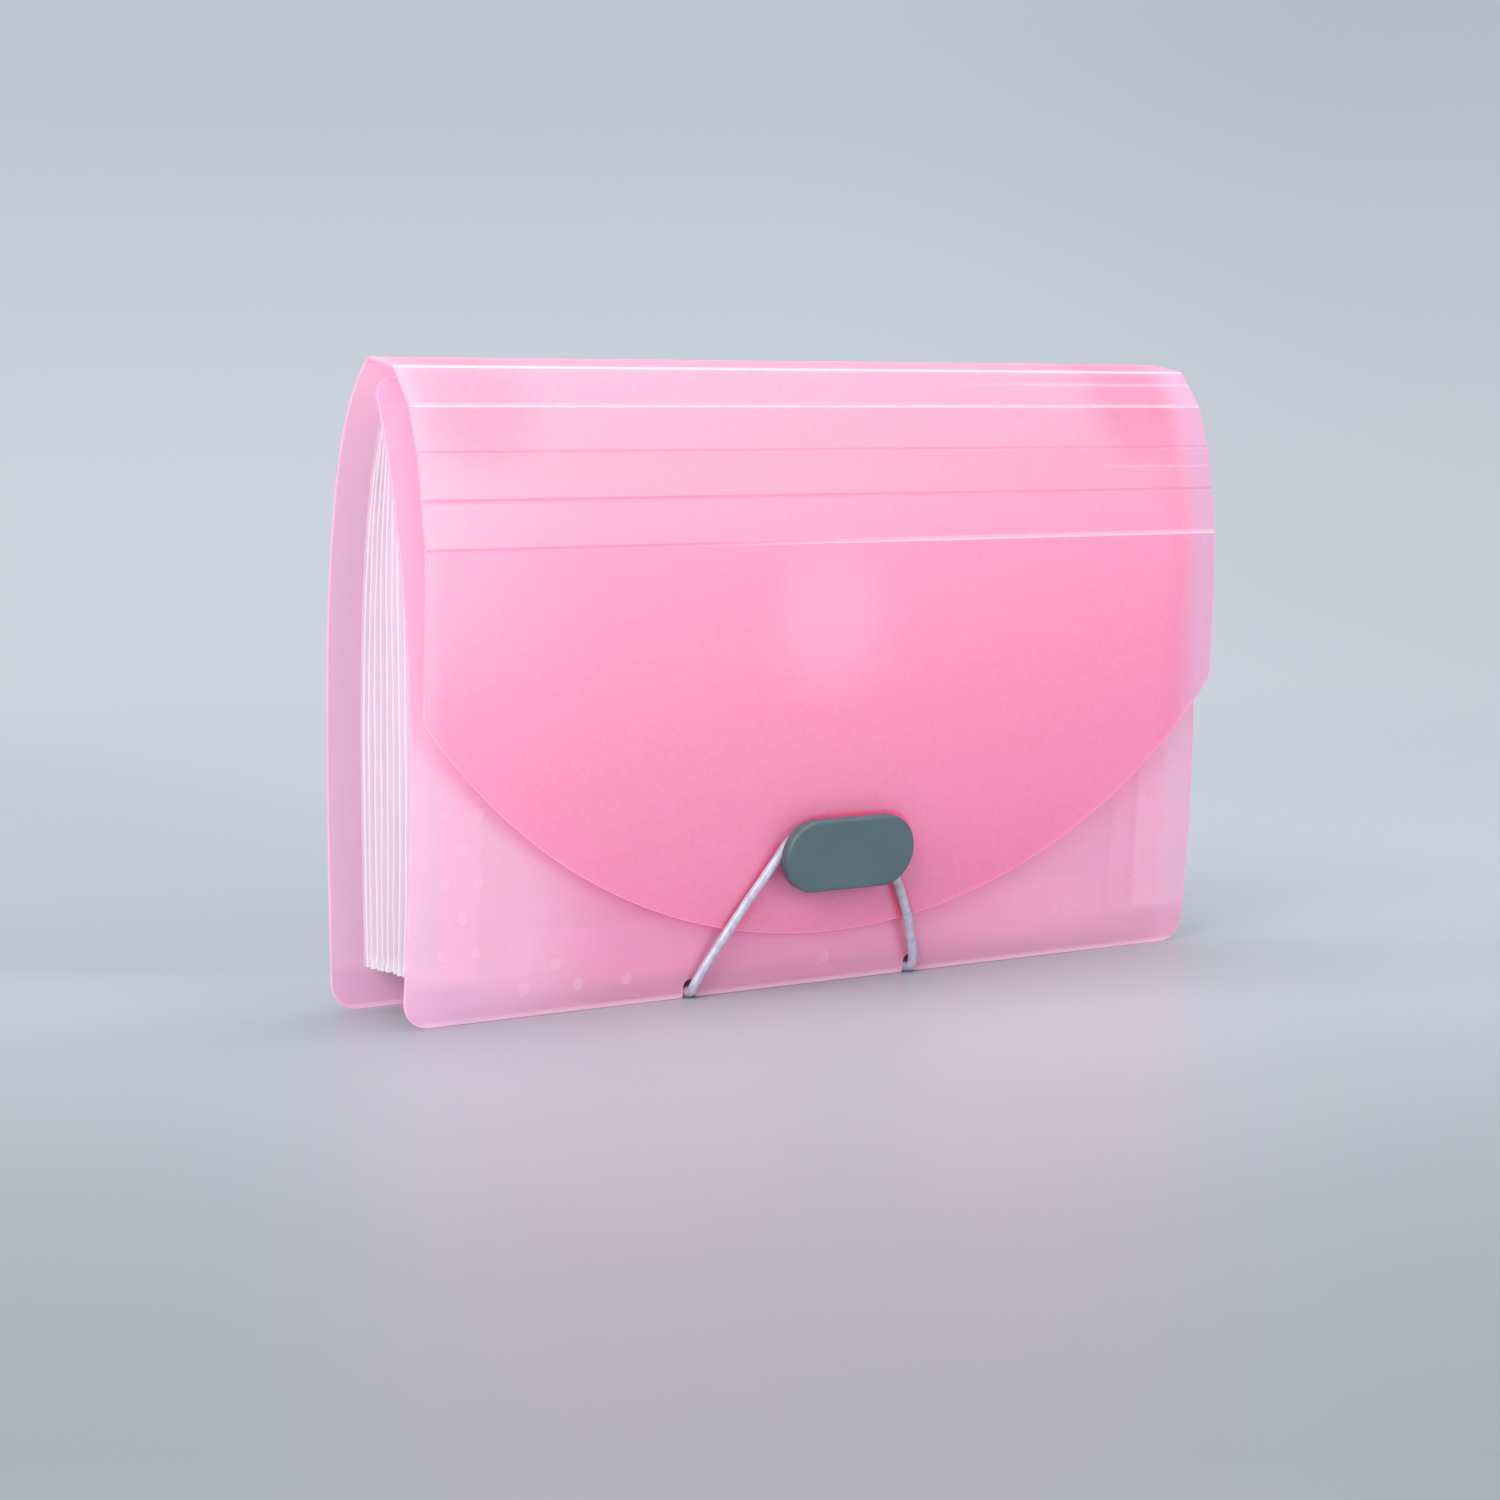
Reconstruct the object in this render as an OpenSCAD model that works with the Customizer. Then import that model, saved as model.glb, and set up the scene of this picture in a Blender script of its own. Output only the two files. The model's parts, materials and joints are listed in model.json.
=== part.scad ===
// Coupon organizer wallet: a plastic sheet file with fanning pockets, pleated side
// gussets, a creased flap, a pill button and an elastic loop.
// X runs along the width, -Y is the front, +Z is up. The wallet stands on the bottom
// edges of its two covers, and the origin is the bottom centre of its bounding box.

/* [Covers] */
// Width of the covers and the flap
cover_w = 178; // [160:1:200]
// Height of the front cover
front_h = 110; // [108:0.5:116]
// Height above the front cover of the fold where the back cover turns into the flap
fold_rise = 3.8; // [3.2:0.2:5]
// Depth over both covers along their bottom edges
base_d = 25; // [23:0.5:30]
// Thickness of the cover and flap sheet
sheet_t = 0.6; // [0.5:0.05:0.8]
// Radius of the bottom corners of the covers
corner_r = 5; // [2:0.5:8]
// Radius of the top corners of the front cover
top_corner_r = 3; // [2:0.5:8]

/* [Side profile] */
// How far the front cover's lower curve handle stands in front of its bottom edge
front_low_belly = 5; // [3.5:0.25:6]
// Height of that handle
front_low_z = 40; // [36:1:44]
// How far the front cover's upper curve handle stands in front of its bottom edge
front_high_belly = 6; // [5:0.25:6.5]
// How far that handle lies below the cover's top edge
front_high_drop = 35; // [32:1:38]
// How far the front cover's top edge lies behind its bottom edge
front_lean = 7.6; // [7:0.2:8.4]
// How far the back cover's lower curve handle stands behind its bottom edge
back_low_belly = 0.8; // [0:0.2:2]
// Height of that handle
back_low_z = 45; // [40:1:50]
// How far the back cover's upper curve handle stands behind its bottom edge
back_high_belly = 3.5; // [3:0.25:5]
// How far that handle lies below the fold
back_high_drop = 14.3; // [12.8:0.5:15.8]
// How far the fold lies in front of the back cover's bottom edge
fold_reach = 15.2; // [14.4:0.2:15.6]

/* [Finger hole and notches] */
// Diameter of the round finger hole in the front cover
hole_d = 21; // [12:1:26]
// Height of the finger hole's centre
hole_z = 67.5; // [60:0.5:75]
// Distance of the left elastic notch from the middle
notch_left = 30; // [26:0.5:36]
// Distance of the right elastic notch from the middle
notch_right = 20; // [17:0.5:24]
// Width of each notch
notch_w = 2.6; // [2.4:0.1:4]
// Height of each notch
notch_h = 3.4; // [3.2:0.1:5]

/* [Flap] */
// Length of the panel between the fold and the first crease
top_panel = 8.7; // [8.5:0.1:9.5]
// Distance between one crease and the next
crease_pitch = 8.2; // [8:0.1:8.6]
// Thickness of the film left in a crease
crease_film = 0.24; // [0.16:0.02:0.3]
// Radius of the flap's curved lower edge, seen from the front
flap_arc_r = 113.5; // [108:0.5:118]
// Height of the lowest point of that edge
flap_low_z = 9.7; // [9:0.1:14]
// Radius of the two corners between the flap's sides and its curved edge
flap_corner_r = 4; // [2:0.5:8]
// Gap between the flap's lowest point and the front cover
tip_gap = 0.4; // [0.3:0.1:1.5]

/* [Pockets] */
// Number of pockets
pockets = 13; // [10:1:13]
// Width of the dividers and of the pleated gussets
divider_w = 164; // [150:1:170]
// Thickness of a divider
divider_t = 0.2; // [0.12:0.02:0.22]
// How far the dividers' top edge lies below the front cover's
divider_drop = 4; // [4:0.5:10]
// Height of the dividers' bottom edge
divider_low = 3.6; // [3.4:0.1:5]
// Thickness of the gusset film
film_t = 0.1; // [0.06:0.01:0.1]
// Depth of a side pleat
pleat_depth = 12; // [8:0.5:16]
// Height where the side pleats start
pleat_low = 8.5; // [6:0.5:12]
// Height of the welded edge of the pocket bases
base_fold_h = 15; // [12:0.5:20]

/* [Button and elastic] */
// Length of the button's head
head_l = 29; // [27:0.5:32]
// Height of the button's head
head_h = 13.3; // [12:0.1:15]
// Thickness of the button's head
head_t = 2.2; // [1.6:0.1:2.6]
// Bevel round the head's front and back
head_bevel = 0.5; // [0.2:0.1:0.8]
// Height of the button's centre
button_z = 25.2; // [24:0.2:27]
// Length of the button's neck
neck_l = 18; // [12:0.5:19]
// Height of the button's neck
neck_h = 5; // [4:0.2:5.4]
// Thickness of the backing plate behind the flap
backing_t = 0.6; // [0.4:0.1:0.7]
// How far the backing plate reaches past the neck all round
backing_rim = 2.2; // [1.5:0.1:3]
// Diameter of the elastic cord
cord_d = 1.8; // [1.4:0.1:1.8]
// Length of the crimp that joins the cord's ends
crimp_l = 6; // [4:0.5:8]
// Outer diameter of the crimp
crimp_d = 2.3; // [2.2:0.05:2.4]

/* [Hidden] */
cover_pink = [0.95, 0.62, 0.78];
flap_pink = [0.97, 0.52, 0.72];
film_white = [0.92, 0.86, 0.93];
button_grey = [0.36, 0.44, 0.47];
cord_silver = [0.8, 0.82, 0.85];

// Small running clearances
clear = 0.06;
seat_gap = 0.12;
crease_gap = 0.25;
fold_gap = 0.4;
cover_clear = 0.2;
cut_margin = 1;
deep = 200;

// Side curves, as points [y, z] of the sheets' outer faces
front_y = -base_d / 2;
back_y = base_d / 2;
fold_h = front_h + fold_rise;
front_curve = [
    [front_y, 0],
    [front_y - front_low_belly, front_low_z],
    [front_y - front_high_belly, front_h - front_high_drop],
    [front_y + front_lean, front_h]
];
back_curve = [
    [back_y, 0],
    [back_y + back_low_belly, back_low_z],
    [back_y + back_high_belly, fold_h - back_high_drop],
    [back_y - fold_reach, fold_h]
];
cover_steps = 24;
// The curves start a little below the floor, so that the covers are cut off flat there
low_share = -0.01;

function curve_at(c, t) =
    pow(1 - t, 3) * c[0] + 3 * t * pow(1 - t, 2) * c[1]
    + 3 * t * t * (1 - t) * c[2] + pow(t, 3) * c[3];
function slope_at(c, t) =
    3 * pow(1 - t, 2) * (c[1] - c[0]) + 6 * t * (1 - t) * (c[2] - c[1])
    + 3 * t * t * (c[3] - c[2]);
function left_of(v) = [-v[1], v[0]] / norm(v);
function heading(a) = [-cos(a), -sin(a)];
function curve_times(last) =
    [for (k = [0 : cover_steps]) low_share + (last - low_share) * k / cover_steps];
function offset_line(c, last, side) =
    [for (t = curve_times(last)) curve_at(c, t) + side * left_of(slope_at(c, t))];
function reversed(list) = [for (k = [len(list) - 1 : -1 : 0]) list[k]];
function swapped(list) = [for (p = list) [p[1], p[0]]];

// The back cover stops short of the fold line by the crease gap
back_end = 1 - fold_gap / norm(slope_at(back_curve, 1));
front_outer = offset_line(front_curve, 1, 0);
front_inner = offset_line(front_curve, 1, -sheet_t);
back_outer = offset_line(back_curve, back_end, 0);
back_inner = offset_line(back_curve, back_end, sheet_t);

// Flap: angle of each panel below the horizontal, from the fold to the tongue
panel_angle = [11, 52, 73, 80.5, 82, 90.5];
fold_axis = curve_at(back_curve, 1);
first_mid = fold_axis + sheet_t / 2 * left_of(heading(panel_angle[0]));
function panel_length(i) = i == 0 ? top_panel : crease_pitch;
function crease(i) =
    i == 0 ? first_mid : crease(i - 1) + panel_length(i - 1) * heading(panel_angle[i - 1]);

// Tongue: an arc that leaves the last crease at its angle and ends just off the front
// cover; its places are angles round the bow's centre
tongue_top = crease(5);
top_angle = panel_angle[5];
tongue_tip = [lookup(flap_low_z, swapped(front_outer)) - tip_gap - sheet_t / 2, flap_low_z];
tongue_span = tongue_tip - tongue_top;
bow_r = tongue_span * tongue_span / (2 * tongue_span * left_of(heading(top_angle)));
bow_centre = tongue_top + bow_r * left_of(heading(top_angle));
bow_angle = asin((tongue_top[1] - flap_low_z + cut_margin) / bow_r);
tongue_steps = 14;
function bow_at(a, r) = bow_centre - r * left_of(heading(top_angle + a));
function tongue_line(r, first, last) =
    [for (k = [0 : tongue_steps]) bow_at(first + (last - first) * k / tongue_steps, r)];

// Button: seated square on the tongue at its own height
button_angle = asin((tongue_top[1] - button_z) / bow_r);
button_at = bow_at(button_angle, bow_r);
button_tilt = top_angle + button_angle - 90;
cord_gap = cord_d + 2 * seat_gap;
head_back = sheet_t / 2 + cord_gap;
head_front = head_back + head_t;

// Whole part, from its foremost to its rearmost point, centred on Y
foremost = button_at[0] - head_front * cos(button_tilt)
    - (head_h / 2 - head_bevel) * sin(button_tilt);
rearmost = max([for (p = back_outer) p[0]]);
frame_y = -(foremost + rearmost) / 2;

// Dividers: all share the same heights, so that the pleats between them fit
divider_top = front_h - divider_drop;
stack_steps = 16;
stack_z = [for (k = [0 : stack_steps]) divider_low + (divider_top - divider_low) * k / stack_steps];
function front_face(z) = lookup(z, swapped(front_inner)) + cover_clear;
function back_face(z) = lookup(z, swapped(back_inner)) - cover_clear;
function divider_y(i, z) = back_face(z) + (front_face(z) - back_face(z)) * i / pockets;
// Rear and front wall of a pocket: a divider's face, or a cover's at either end
function rear_wall(i, z) = divider_y(i - 1, z) - (i == 1 ? 0 : divider_t / 2 + clear);
function front_wall(i, z) = divider_y(i, z) + (i == pockets ? 0 : divider_t / 2 + clear);

// Elastic: route of the cord's middle, from behind the front cover through the left
// notch, round the button's neck and back through the right notch
cord_r = cord_d / 2;
cord_sides = 8;
hidden_y = -10.9;
hidden_z = 2;
cord_route = [
    [12, hidden_y, hidden_z], [3, hidden_y, hidden_z], [-6, hidden_y, hidden_z],
    [-15, hidden_y, hidden_z], [-22, hidden_y, hidden_z], [-27.4, hidden_y, hidden_z],
    [-29.2, -11.2, 2], [-30, -12, 2.1], [-30, -13.6, 2.5], [-29.8, -14.15, 3.6],
    [-28.4, -14.5, 5.4], [-26.4, -15.25, 8.6], [-24, -16.2, 12.2], [-21, -16.95, 16.6],
    [-17.8, -17.65, 21.2], [-14.6, -18.2, 25.2], [-12.4, -18.5, 27.4], [-9.6, -18.7, 28.7],
    [-5, -18.75, 29], [0, -18.75, 29], [5, -18.75, 29], [9, -18.65, 28.5],
    [11, -18.4, 26.6], [11.6, -17.95, 23.6], [11.8, -17.5, 20.2], [13, -16.9, 16.4],
    [15, -16.2, 12.2], [17.2, -15.2, 8.2], [19, -14.5, 5.2], [19.8, -14.15, 3.6],
    [20, -13.6, 2.5], [20, -12, 2.1], [19.2, -11.2, 2], [17.4, hidden_y, hidden_z]
];

// Places a side profile [y, z] and draws it out along X
module across(w) {
    rotate([90, 0, 90])
        linear_extrude(w, center = true)
            children();
}

// Places a front outline [x, z] and draws it out along Y
module through() {
    rotate([90, 0, 0])
        linear_extrude(deep, center = true)
            children();
}

module in_frame() {
    translate([0, frame_y, 0])
        children();
}

// Front outline of a cover: square on top, rounded below
module cover_outline(w, top, r_low, r_top) {
    edge_x = w / 2;
    difference() {
        translate([-edge_x, 0])
            square([w, top]);
        for (side = [-1, 1]) {
            corner_cut(side * edge_x, 0, side, -1, r_low);
            if (r_top > 0) corner_cut(side * edge_x, top, side, 1, r_top);
        }
    }
}

// What a rounded corner takes away; sx and sz point out of the outline
module corner_cut(x, z, sx, sz, r) {
    translate([x - sx * r, z - sz * r])
        scale([sx, sz])
            difference() {
                square(r + cut_margin);
                circle(r, $fn = 48);
            }
}

// Film of a crease, from the end of a panel to the hinge line; a is the panel's slope
module film(at, a, gap) {
    across(cover_w)
        union() {
            translate(at)
                circle(crease_film / 2, $fn = 24);
            translate(at)
                rotate(a)
                    translate([0, -crease_film / 2])
                        square([gap + clear, crease_film]);
        }
}

module back_cover() {
    color(cover_pink)
        in_frame() {
            intersection() {
                across(cover_w)
                    polygon(concat(back_outer, reversed(back_inner)));
                through()
                    cover_outline(cover_w, fold_h + cut_margin, corner_r, 0);
            }
            fold_film();
        }
}

// The film of the top fold hangs from the back cover's outer face
module fold_film() {
    v = slope_at(back_curve, 1);
    film(fold_axis + crease_film / 2 * left_of(v), atan2(-v[1], -v[0]), fold_gap);
}

module front_cover() {
    color(cover_pink)
        in_frame()
            intersection() {
                across(cover_w)
                    polygon(concat(front_outer, reversed(front_inner)));
                through()
                    difference() {
                        cover_outline(cover_w, front_h, corner_r, top_corner_r);
                        translate([0, hole_z])
                            circle(hole_d / 2, $fn = 64);
                        notch(-notch_left);
                        notch(notch_right);
                    }
            }
}

// A notch with a round top, open at the bottom edge
module notch(x) {
    translate([x, 0]) {
        translate([-notch_w / 2, -cut_margin])
            square([notch_w, notch_h - notch_w / 2 + cut_margin]);
        translate([0, notch_h - notch_w / 2])
            circle(notch_w / 2, $fn = 32);
    }
}

module flap_strip(i) {
    a = panel_angle[i - 1];
    start_gap = i == 1 ? fold_gap : crease_gap;
    color(flap_pink)
        in_frame() {
            across(cover_w)
                translate(crease(i - 1))
                    rotate(a + 180)
                        translate([start_gap, -sheet_t / 2])
                            square([panel_length(i - 1) - start_gap - crease_gap, sheet_t]);
            film(crease(i), a, crease_gap);
        }
}

module flap_tongue() {
    first = asin(crease_gap / bow_r);
    half = sheet_t / 2;
    color(flap_pink)
        in_frame()
            difference() {
                intersection() {
                    across(cover_w)
                        polygon(concat(
                            tongue_line(bow_r + half, first, bow_angle),
                            reversed(tongue_line(bow_r - half, first, bow_angle))
                        ));
                    through()
                        tongue_outline();
                }
                on_button()
                    pill(neck_l + 2 * clear, neck_h + 2 * clear, -deep, deep);
            }
}

// Straight sides above, one large arc below, and a small arc that eases each corner
module tongue_outline() {
    arc_z = flap_low_z + flap_arc_r;
    ease = flap_corner_r;
    ease_x = cover_w / 2 - ease;
    ease_z = arc_z - sqrt(pow(flap_arc_r - ease, 2) - pow(ease_x, 2));
    wedge_z = arc_z + 2 * (ease_z - arc_z);
    intersection() {
        circle_at(0, arc_z, flap_arc_r, 180);
        polygon([[0, arc_z], [-2 * ease_x, wedge_z], [2 * ease_x, wedge_z]]);
    }
    translate([-cover_w / 2, ease_z])
        square([cover_w, tongue_top[1] + cut_margin - ease_z]);
    for (side = [-1, 1])
        circle_at(side * ease_x, ease_z, ease, 48);
}

module circle_at(x, z, r, fn) {
    translate([x, z])
        circle(r, $fn = fn);
}

// Axes of the button: its own Z points out of the flap, to the front
module on_button() {
    translate([0, button_at[0], button_at[1]])
        rotate([90 + button_tilt, 0, 0])
            children();
}

// A pill-shaped prism between two heights
module pill(l, h, from, to) {
    translate([0, 0, from])
        linear_extrude(to - from)
            pill_outline(l, h);
}

module pill_outline(l, h) {
    square([l - h, h], center = true);
    for (side = [-1, 1])
        translate([side * (l - h) / 2, 0])
            circle(h / 2, $fn = 48);
}

// A pill with bevelled front and back rims: two turned ends and a drawn middle
module bevelled_pill(l, h, from, to, bevel) {
    r = h / 2;
    side = [[0, from], [r - bevel, from], [r, from + bevel], [r, to - bevel], [r - bevel, to], [0, to]];
    for (end = [-1, 1])
        translate([end * (l - h) / 2, 0, 0])
            rotate_extrude($fn = 64)
                polygon(side);
    rotate([90, 0, 90])
        linear_extrude(l - h, center = true)
            polygon(concat(side, [for (p = reversed(side)) [-p[0], p[1]]]));
}

module button() {
    color(button_grey)
        in_frame()
            on_button() {
                bevelled_pill(head_l, head_h, head_back, head_front, head_bevel);
                pill(neck_l, neck_h, -sheet_t / 2 - clear - backing_t, head_back + clear);
            }
}

module button_backing() {
    rim = 2 * backing_rim;
    inner = -sheet_t / 2 - clear;
    color(button_grey)
        in_frame()
            on_button()
                difference() {
                    pill(neck_l + rim, neck_h + rim, inner - backing_t, inner);
                    pill(neck_l + 2 * clear, neck_h + 2 * clear, -deep, deep);
                }
}

module divider(i) {
    front_side = [for (z = stack_z) [divider_y(i, z) - divider_t / 2, z]];
    rear_side = [for (z = stack_z) [divider_y(i, z) + divider_t / 2, z]];
    color(film_white)
        in_frame()
            intersection() {
                across(divider_w)
                    polygon(concat(front_side, reversed(rear_side)));
                through()
                    divider_outline();
            }
}

module divider_outline() {
    ease = 3;
    translate([-divider_w / 2, divider_low])
        polygon([
            [0, 0], [divider_w, 0],
            for (a = [0 : 30 : 90])
                [divider_w - ease + ease * cos(a), divider_top - divider_low - ease + ease * sin(a)],
            for (a = [90 : 30 : 180])
                [ease + ease * cos(a), divider_top - divider_low - ease + ease * sin(a)]
        ]);
}

// One V of film at each side, open outwards, its two legs against the pocket's walls
module gusset_pleat(i) {
    heights = concat([pleat_low], [for (z = stack_z) if (z > pleat_low + 1) z]);
    color(film_white)
        in_frame()
            for (side = [-1, 1])
                pleat_solid(i, side, heights);
}

function pleat_ring(i, side, z) =
    let (
        out = side * divider_w / 2,
        in = side * (divider_w / 2 - pleat_depth),
        crest = side * film_t * 2,
        rear = rear_wall(i, z),
        front = front_wall(i, z),
        mid = (rear + front) / 2
    )
    [
        [out, rear, z], [in, mid + film_t / 2, z], [in, mid - film_t / 2, z],
        [out, front, z], [out, front + film_t, z], [in + crest, mid, z], [out, rear - film_t, z]
    ];

module pleat_solid(i, side, heights) {
    n = 7;
    rings = len(heights);
    points = [for (z = heights) each pleat_ring(i, side, z)];
    walls = [
        for (r = [0 : rings - 2], k = [0 : n - 1])
            let (a = r * n + k, b = r * n + (k + 1) % n)
                each [[a, b + n, b], [a, a + n, b + n]]
    ];
    low = [[0, 1, 6], [1, 5, 6], [1, 2, 5], [2, 4, 5], [2, 3, 4]];
    high = [for (f = low) [for (v = reversed(f)) v + (rings - 1) * n]];
    faces = concat(low, high, walls);
    polyhedron(points, side > 0 ? faces : [for (f = faces) reversed(f)]);
}

// A V of film along the bottom of a pocket, open upwards
module pocket_base(i) {
    gap = 0.15;
    top = base_fold_h;
    rear = rear_wall(i, top) - gap;
    front = front_wall(i, top) + gap;
    low_mid = (rear_wall(i, divider_low) + front_wall(i, divider_low)) / 2;
    color(film_white)
        in_frame()
            across(divider_w - 2 * pleat_depth - 2 * cut_margin)
                polygon([
                    [rear, top], [low_mid + film_t / 2, divider_low], [low_mid - film_t / 2, divider_low],
                    [front, top], [front + film_t, top], [low_mid, divider_low + 4 * film_t],
                    [rear - film_t, top]
                ]);
}

// Directions across the cord at one of its points
function cord_turn(k) =
    let (n = len(cord_route), v = cord_route[(k + 1) % n] - cord_route[(k + n - 1) % n])
        v / norm(v);
function unit(v) = v / norm(v);
cord_guide = [0.61, 0.61, -0.51];

module elastic_loop() {
    n = len(cord_route);
    points = [
        for (k = [0 : n - 1])
            let (
                along = cord_turn(k),
                side = unit(cross(along, cord_guide)),
                up = cross(side, along)
            )
                for (s = [0 : cord_sides - 1])
                    let (a = 360 * s / cord_sides)
                        cord_route[k] + cord_r * (cos(a) * side + sin(a) * up)
    ];
    faces = [
        for (k = [0 : n - 1], s = [0 : cord_sides - 1])
            let (
                a = k * cord_sides,
                b = ((k + 1) % n) * cord_sides,
                t = (s + 1) % cord_sides
            )
                each [[a + s, b + t, b + s], [a + s, a + t, b + t]]
    ];
    color(cord_silver)
        in_frame()
            polyhedron(points, faces);
}

module elastic_crimp() {
    color(cord_silver)
        in_frame()
            translate([-1.5, hidden_y, hidden_z])
                rotate([0, 90, 0])
                    difference() {
                        cylinder(crimp_l, r = crimp_d / 2, center = true, $fn = 32);
                        cylinder(crimp_l + cut_margin, r = cord_r + clear, center = true, $fn = 32);
                    }
}

back_cover();
flap_tongue();
button();
button_backing();
front_cover();
elastic_loop();
elastic_crimp();
for (i = [1 : 5])
    flap_strip(i);
for (i = [1 : pockets - 1])
    divider(i);
for (i = [1 : pockets])
    gusset_pleat(i);
for (i = [1 : pockets])
    pocket_base(i);
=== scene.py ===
# Coupon organizer wallet: looks. Everything is in metres in the CAD's frame; the sizes
# below are in millimetres, as in the part's source, and are scaled when a mesh is made.
import json
import math

import bpy
import numpy as np
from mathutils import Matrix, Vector
from mathutils.geometry import delaunay_2d_cdt


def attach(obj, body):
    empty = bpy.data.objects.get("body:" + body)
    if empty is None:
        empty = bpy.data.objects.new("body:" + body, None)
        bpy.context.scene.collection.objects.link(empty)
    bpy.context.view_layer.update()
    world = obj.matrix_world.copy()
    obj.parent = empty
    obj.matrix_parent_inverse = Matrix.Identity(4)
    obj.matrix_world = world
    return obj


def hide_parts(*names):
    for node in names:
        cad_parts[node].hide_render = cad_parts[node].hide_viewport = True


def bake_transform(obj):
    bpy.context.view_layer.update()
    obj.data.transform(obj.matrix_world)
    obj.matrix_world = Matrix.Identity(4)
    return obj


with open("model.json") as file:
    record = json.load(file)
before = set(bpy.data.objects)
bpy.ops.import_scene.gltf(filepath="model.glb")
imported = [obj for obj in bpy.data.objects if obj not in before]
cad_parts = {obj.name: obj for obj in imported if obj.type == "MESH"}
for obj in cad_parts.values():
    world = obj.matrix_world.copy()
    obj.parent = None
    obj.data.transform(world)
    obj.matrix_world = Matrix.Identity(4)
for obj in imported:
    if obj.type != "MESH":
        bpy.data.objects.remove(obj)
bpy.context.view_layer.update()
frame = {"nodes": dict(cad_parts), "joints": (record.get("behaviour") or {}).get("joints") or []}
MM = 0.001


def joint_at(name):
    for j in frame["joints"]:
        if j["name"] == name:
            return j["pos_m"]
    raise ValueError(name)


# camera, fitted to the photograph
LENS = 83.97
CAMERA_AT = (-0.3849, -0.5152, 0.1045)
CAMERA_YAW, CAMERA_DOWN = 35.99, 5.53


def make_camera():
    data = bpy.data.cameras.new("camera")
    data.sensor_fit = "HORIZONTAL"
    data.sensor_width = 36
    data.lens = LENS
    data.clip_start = 0.01
    cam = bpy.data.objects.new("camera", data)
    bpy.context.scene.collection.objects.link(cam)
    yaw, down = math.radians(CAMERA_YAW), math.radians(CAMERA_DOWN)
    look = Vector((math.sin(yaw) * math.cos(down), math.cos(yaw) * math.cos(down), -math.sin(down)))
    cam.location = CAMERA_AT
    cam.rotation_euler = look.to_track_quat("-Z", "Y").to_euler()
    bpy.context.scene.camera = cam


make_camera()

# sizes
HALF = 178.0 / 2
SHEET, RIM = 0.6, 0.2
FOLD = (-2.7, 113.8)
SHIFT = joint_at("flap_open")[1] / MM - FOLD[0]
FRONT = np.array([(-12.5, 0), (-17.5, 40), (-18.5, 75), (-4.9, 110)], float)
BACK = np.array([(12.5, 0), (13.3, 45), (16, 99.5), FOLD], float)
PANEL_ANGLE = (11, 52, 73, 80.5, 82, 90.5)  # of the five panels, and of the tongue's start
TOP_PANEL, PITCH = 8.7, 8.2
TONGUE_HEADING, TONGUE_ARC, TIP_Z = PANEL_ANGLE[5], 113.5, 9.7
POCKETS = 13
HALF_DIV, DIV_LOW, DIV_TOP, DIV_T = 82.0, 3.6, 106.0, 0.2
DEPTH, FILM_LOW = 12.0, 7.2
HOLE_Z, HOLE_R = 67.5, 10.5
FLANGE_X = (75.0, 82.4)
NOTCH_X, NOTCH_R, NOTCH_H = (-30.0, 20.0), 1.3, 3.4
BUTTON_Z, BUTTON_L, BUTTON_H, BUTTON_T, BUTTON_GAP = 25.2, 29.0, 13.3, 2.2, 2.04
CORD_R, BRAID, STRANDS, LAY = 0.85, 0.05, 6, 5.2


def bezier(c, t):
    t = np.asarray(t)[..., None]
    u = 1 - t
    return u**3 * c[0] + 3 * t * u**2 * c[1] + 3 * t**2 * u * c[2] + t**3 * c[3]


def bezier_slope(c, t):
    t = np.asarray(t)[..., None]
    u = 1 - t
    return 3 * u**2 * (c[1] - c[0]) + 6 * t * u * (c[2] - c[1]) + 3 * t**2 * (c[3] - c[2])


def left_of(v):
    v = np.asarray(v, float)
    n = np.stack([-v[..., 1], v[..., 0]], -1)
    return n / np.linalg.norm(n, axis=-1, keepdims=True)


def heading(a):
    a = math.radians(a)
    return np.array([-math.cos(a), -math.sin(a)])


class Path:
    """A side profile: the sheet's middle line [y, z] by distance s, with its outward normal."""

    def __init__(self, points, normals):
        self.p = np.array(points, float)
        self.n = np.array(normals, float)
        step = np.linalg.norm(np.diff(self.p, axis=0), axis=1)
        self.s = np.concatenate([[0], np.cumsum(step)])
        self.length = self.s[-1]

    def at(self, s):
        s = np.asarray(s, float)
        p = np.stack([np.interp(s, self.s, self.p[:, k]) for k in (0, 1)], -1)
        n = np.stack([np.interp(s, self.s, self.n[:, k]) for k in (0, 1)], -1)
        n /= np.linalg.norm(n, axis=-1, keepdims=True)
        return p, n

    def s_at_z(self, z):
        order = np.argsort(self.p[:, 1])
        return np.interp(z, self.p[order, 1], self.s[order])


T = np.linspace(0, 1, 500)
front_n = left_of(bezier_slope(FRONT, T))
back_n = -left_of(bezier_slope(BACK, T))
front_out, back_out = bezier(FRONT, T), bezier(BACK, T)
front_in, back_in = front_out - SHEET * front_n, back_out - SHEET * back_n
front_path = Path(front_out - SHEET / 2 * front_n, front_n)
back_path = Path(back_out - SHEET / 2 * back_n, back_n)

# The flap's middle line: five flat panels, then the bowed tongue
corner = [np.array(FOLD) + SHEET / 2 * left_of(heading(PANEL_ANGLE[0]))]
for k in range(5):
    corner.append(corner[-1] + (TOP_PANEL if k == 0 else PITCH) * heading(PANEL_ANGLE[k]))
tip = np.array([np.interp(TIP_Z, front_out[:, 1], front_out[:, 0]) - 0.4 - SHEET / 2, TIP_Z])
span = tip - corner[5]
BOW_R = span @ span / (2 * span @ left_of(heading(TONGUE_HEADING)))
bow_centre = corner[5] + BOW_R * left_of(heading(TONGUE_HEADING))


def bow_at(a):
    return bow_centre - BOW_R * left_of(heading(TONGUE_HEADING + a))


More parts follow.
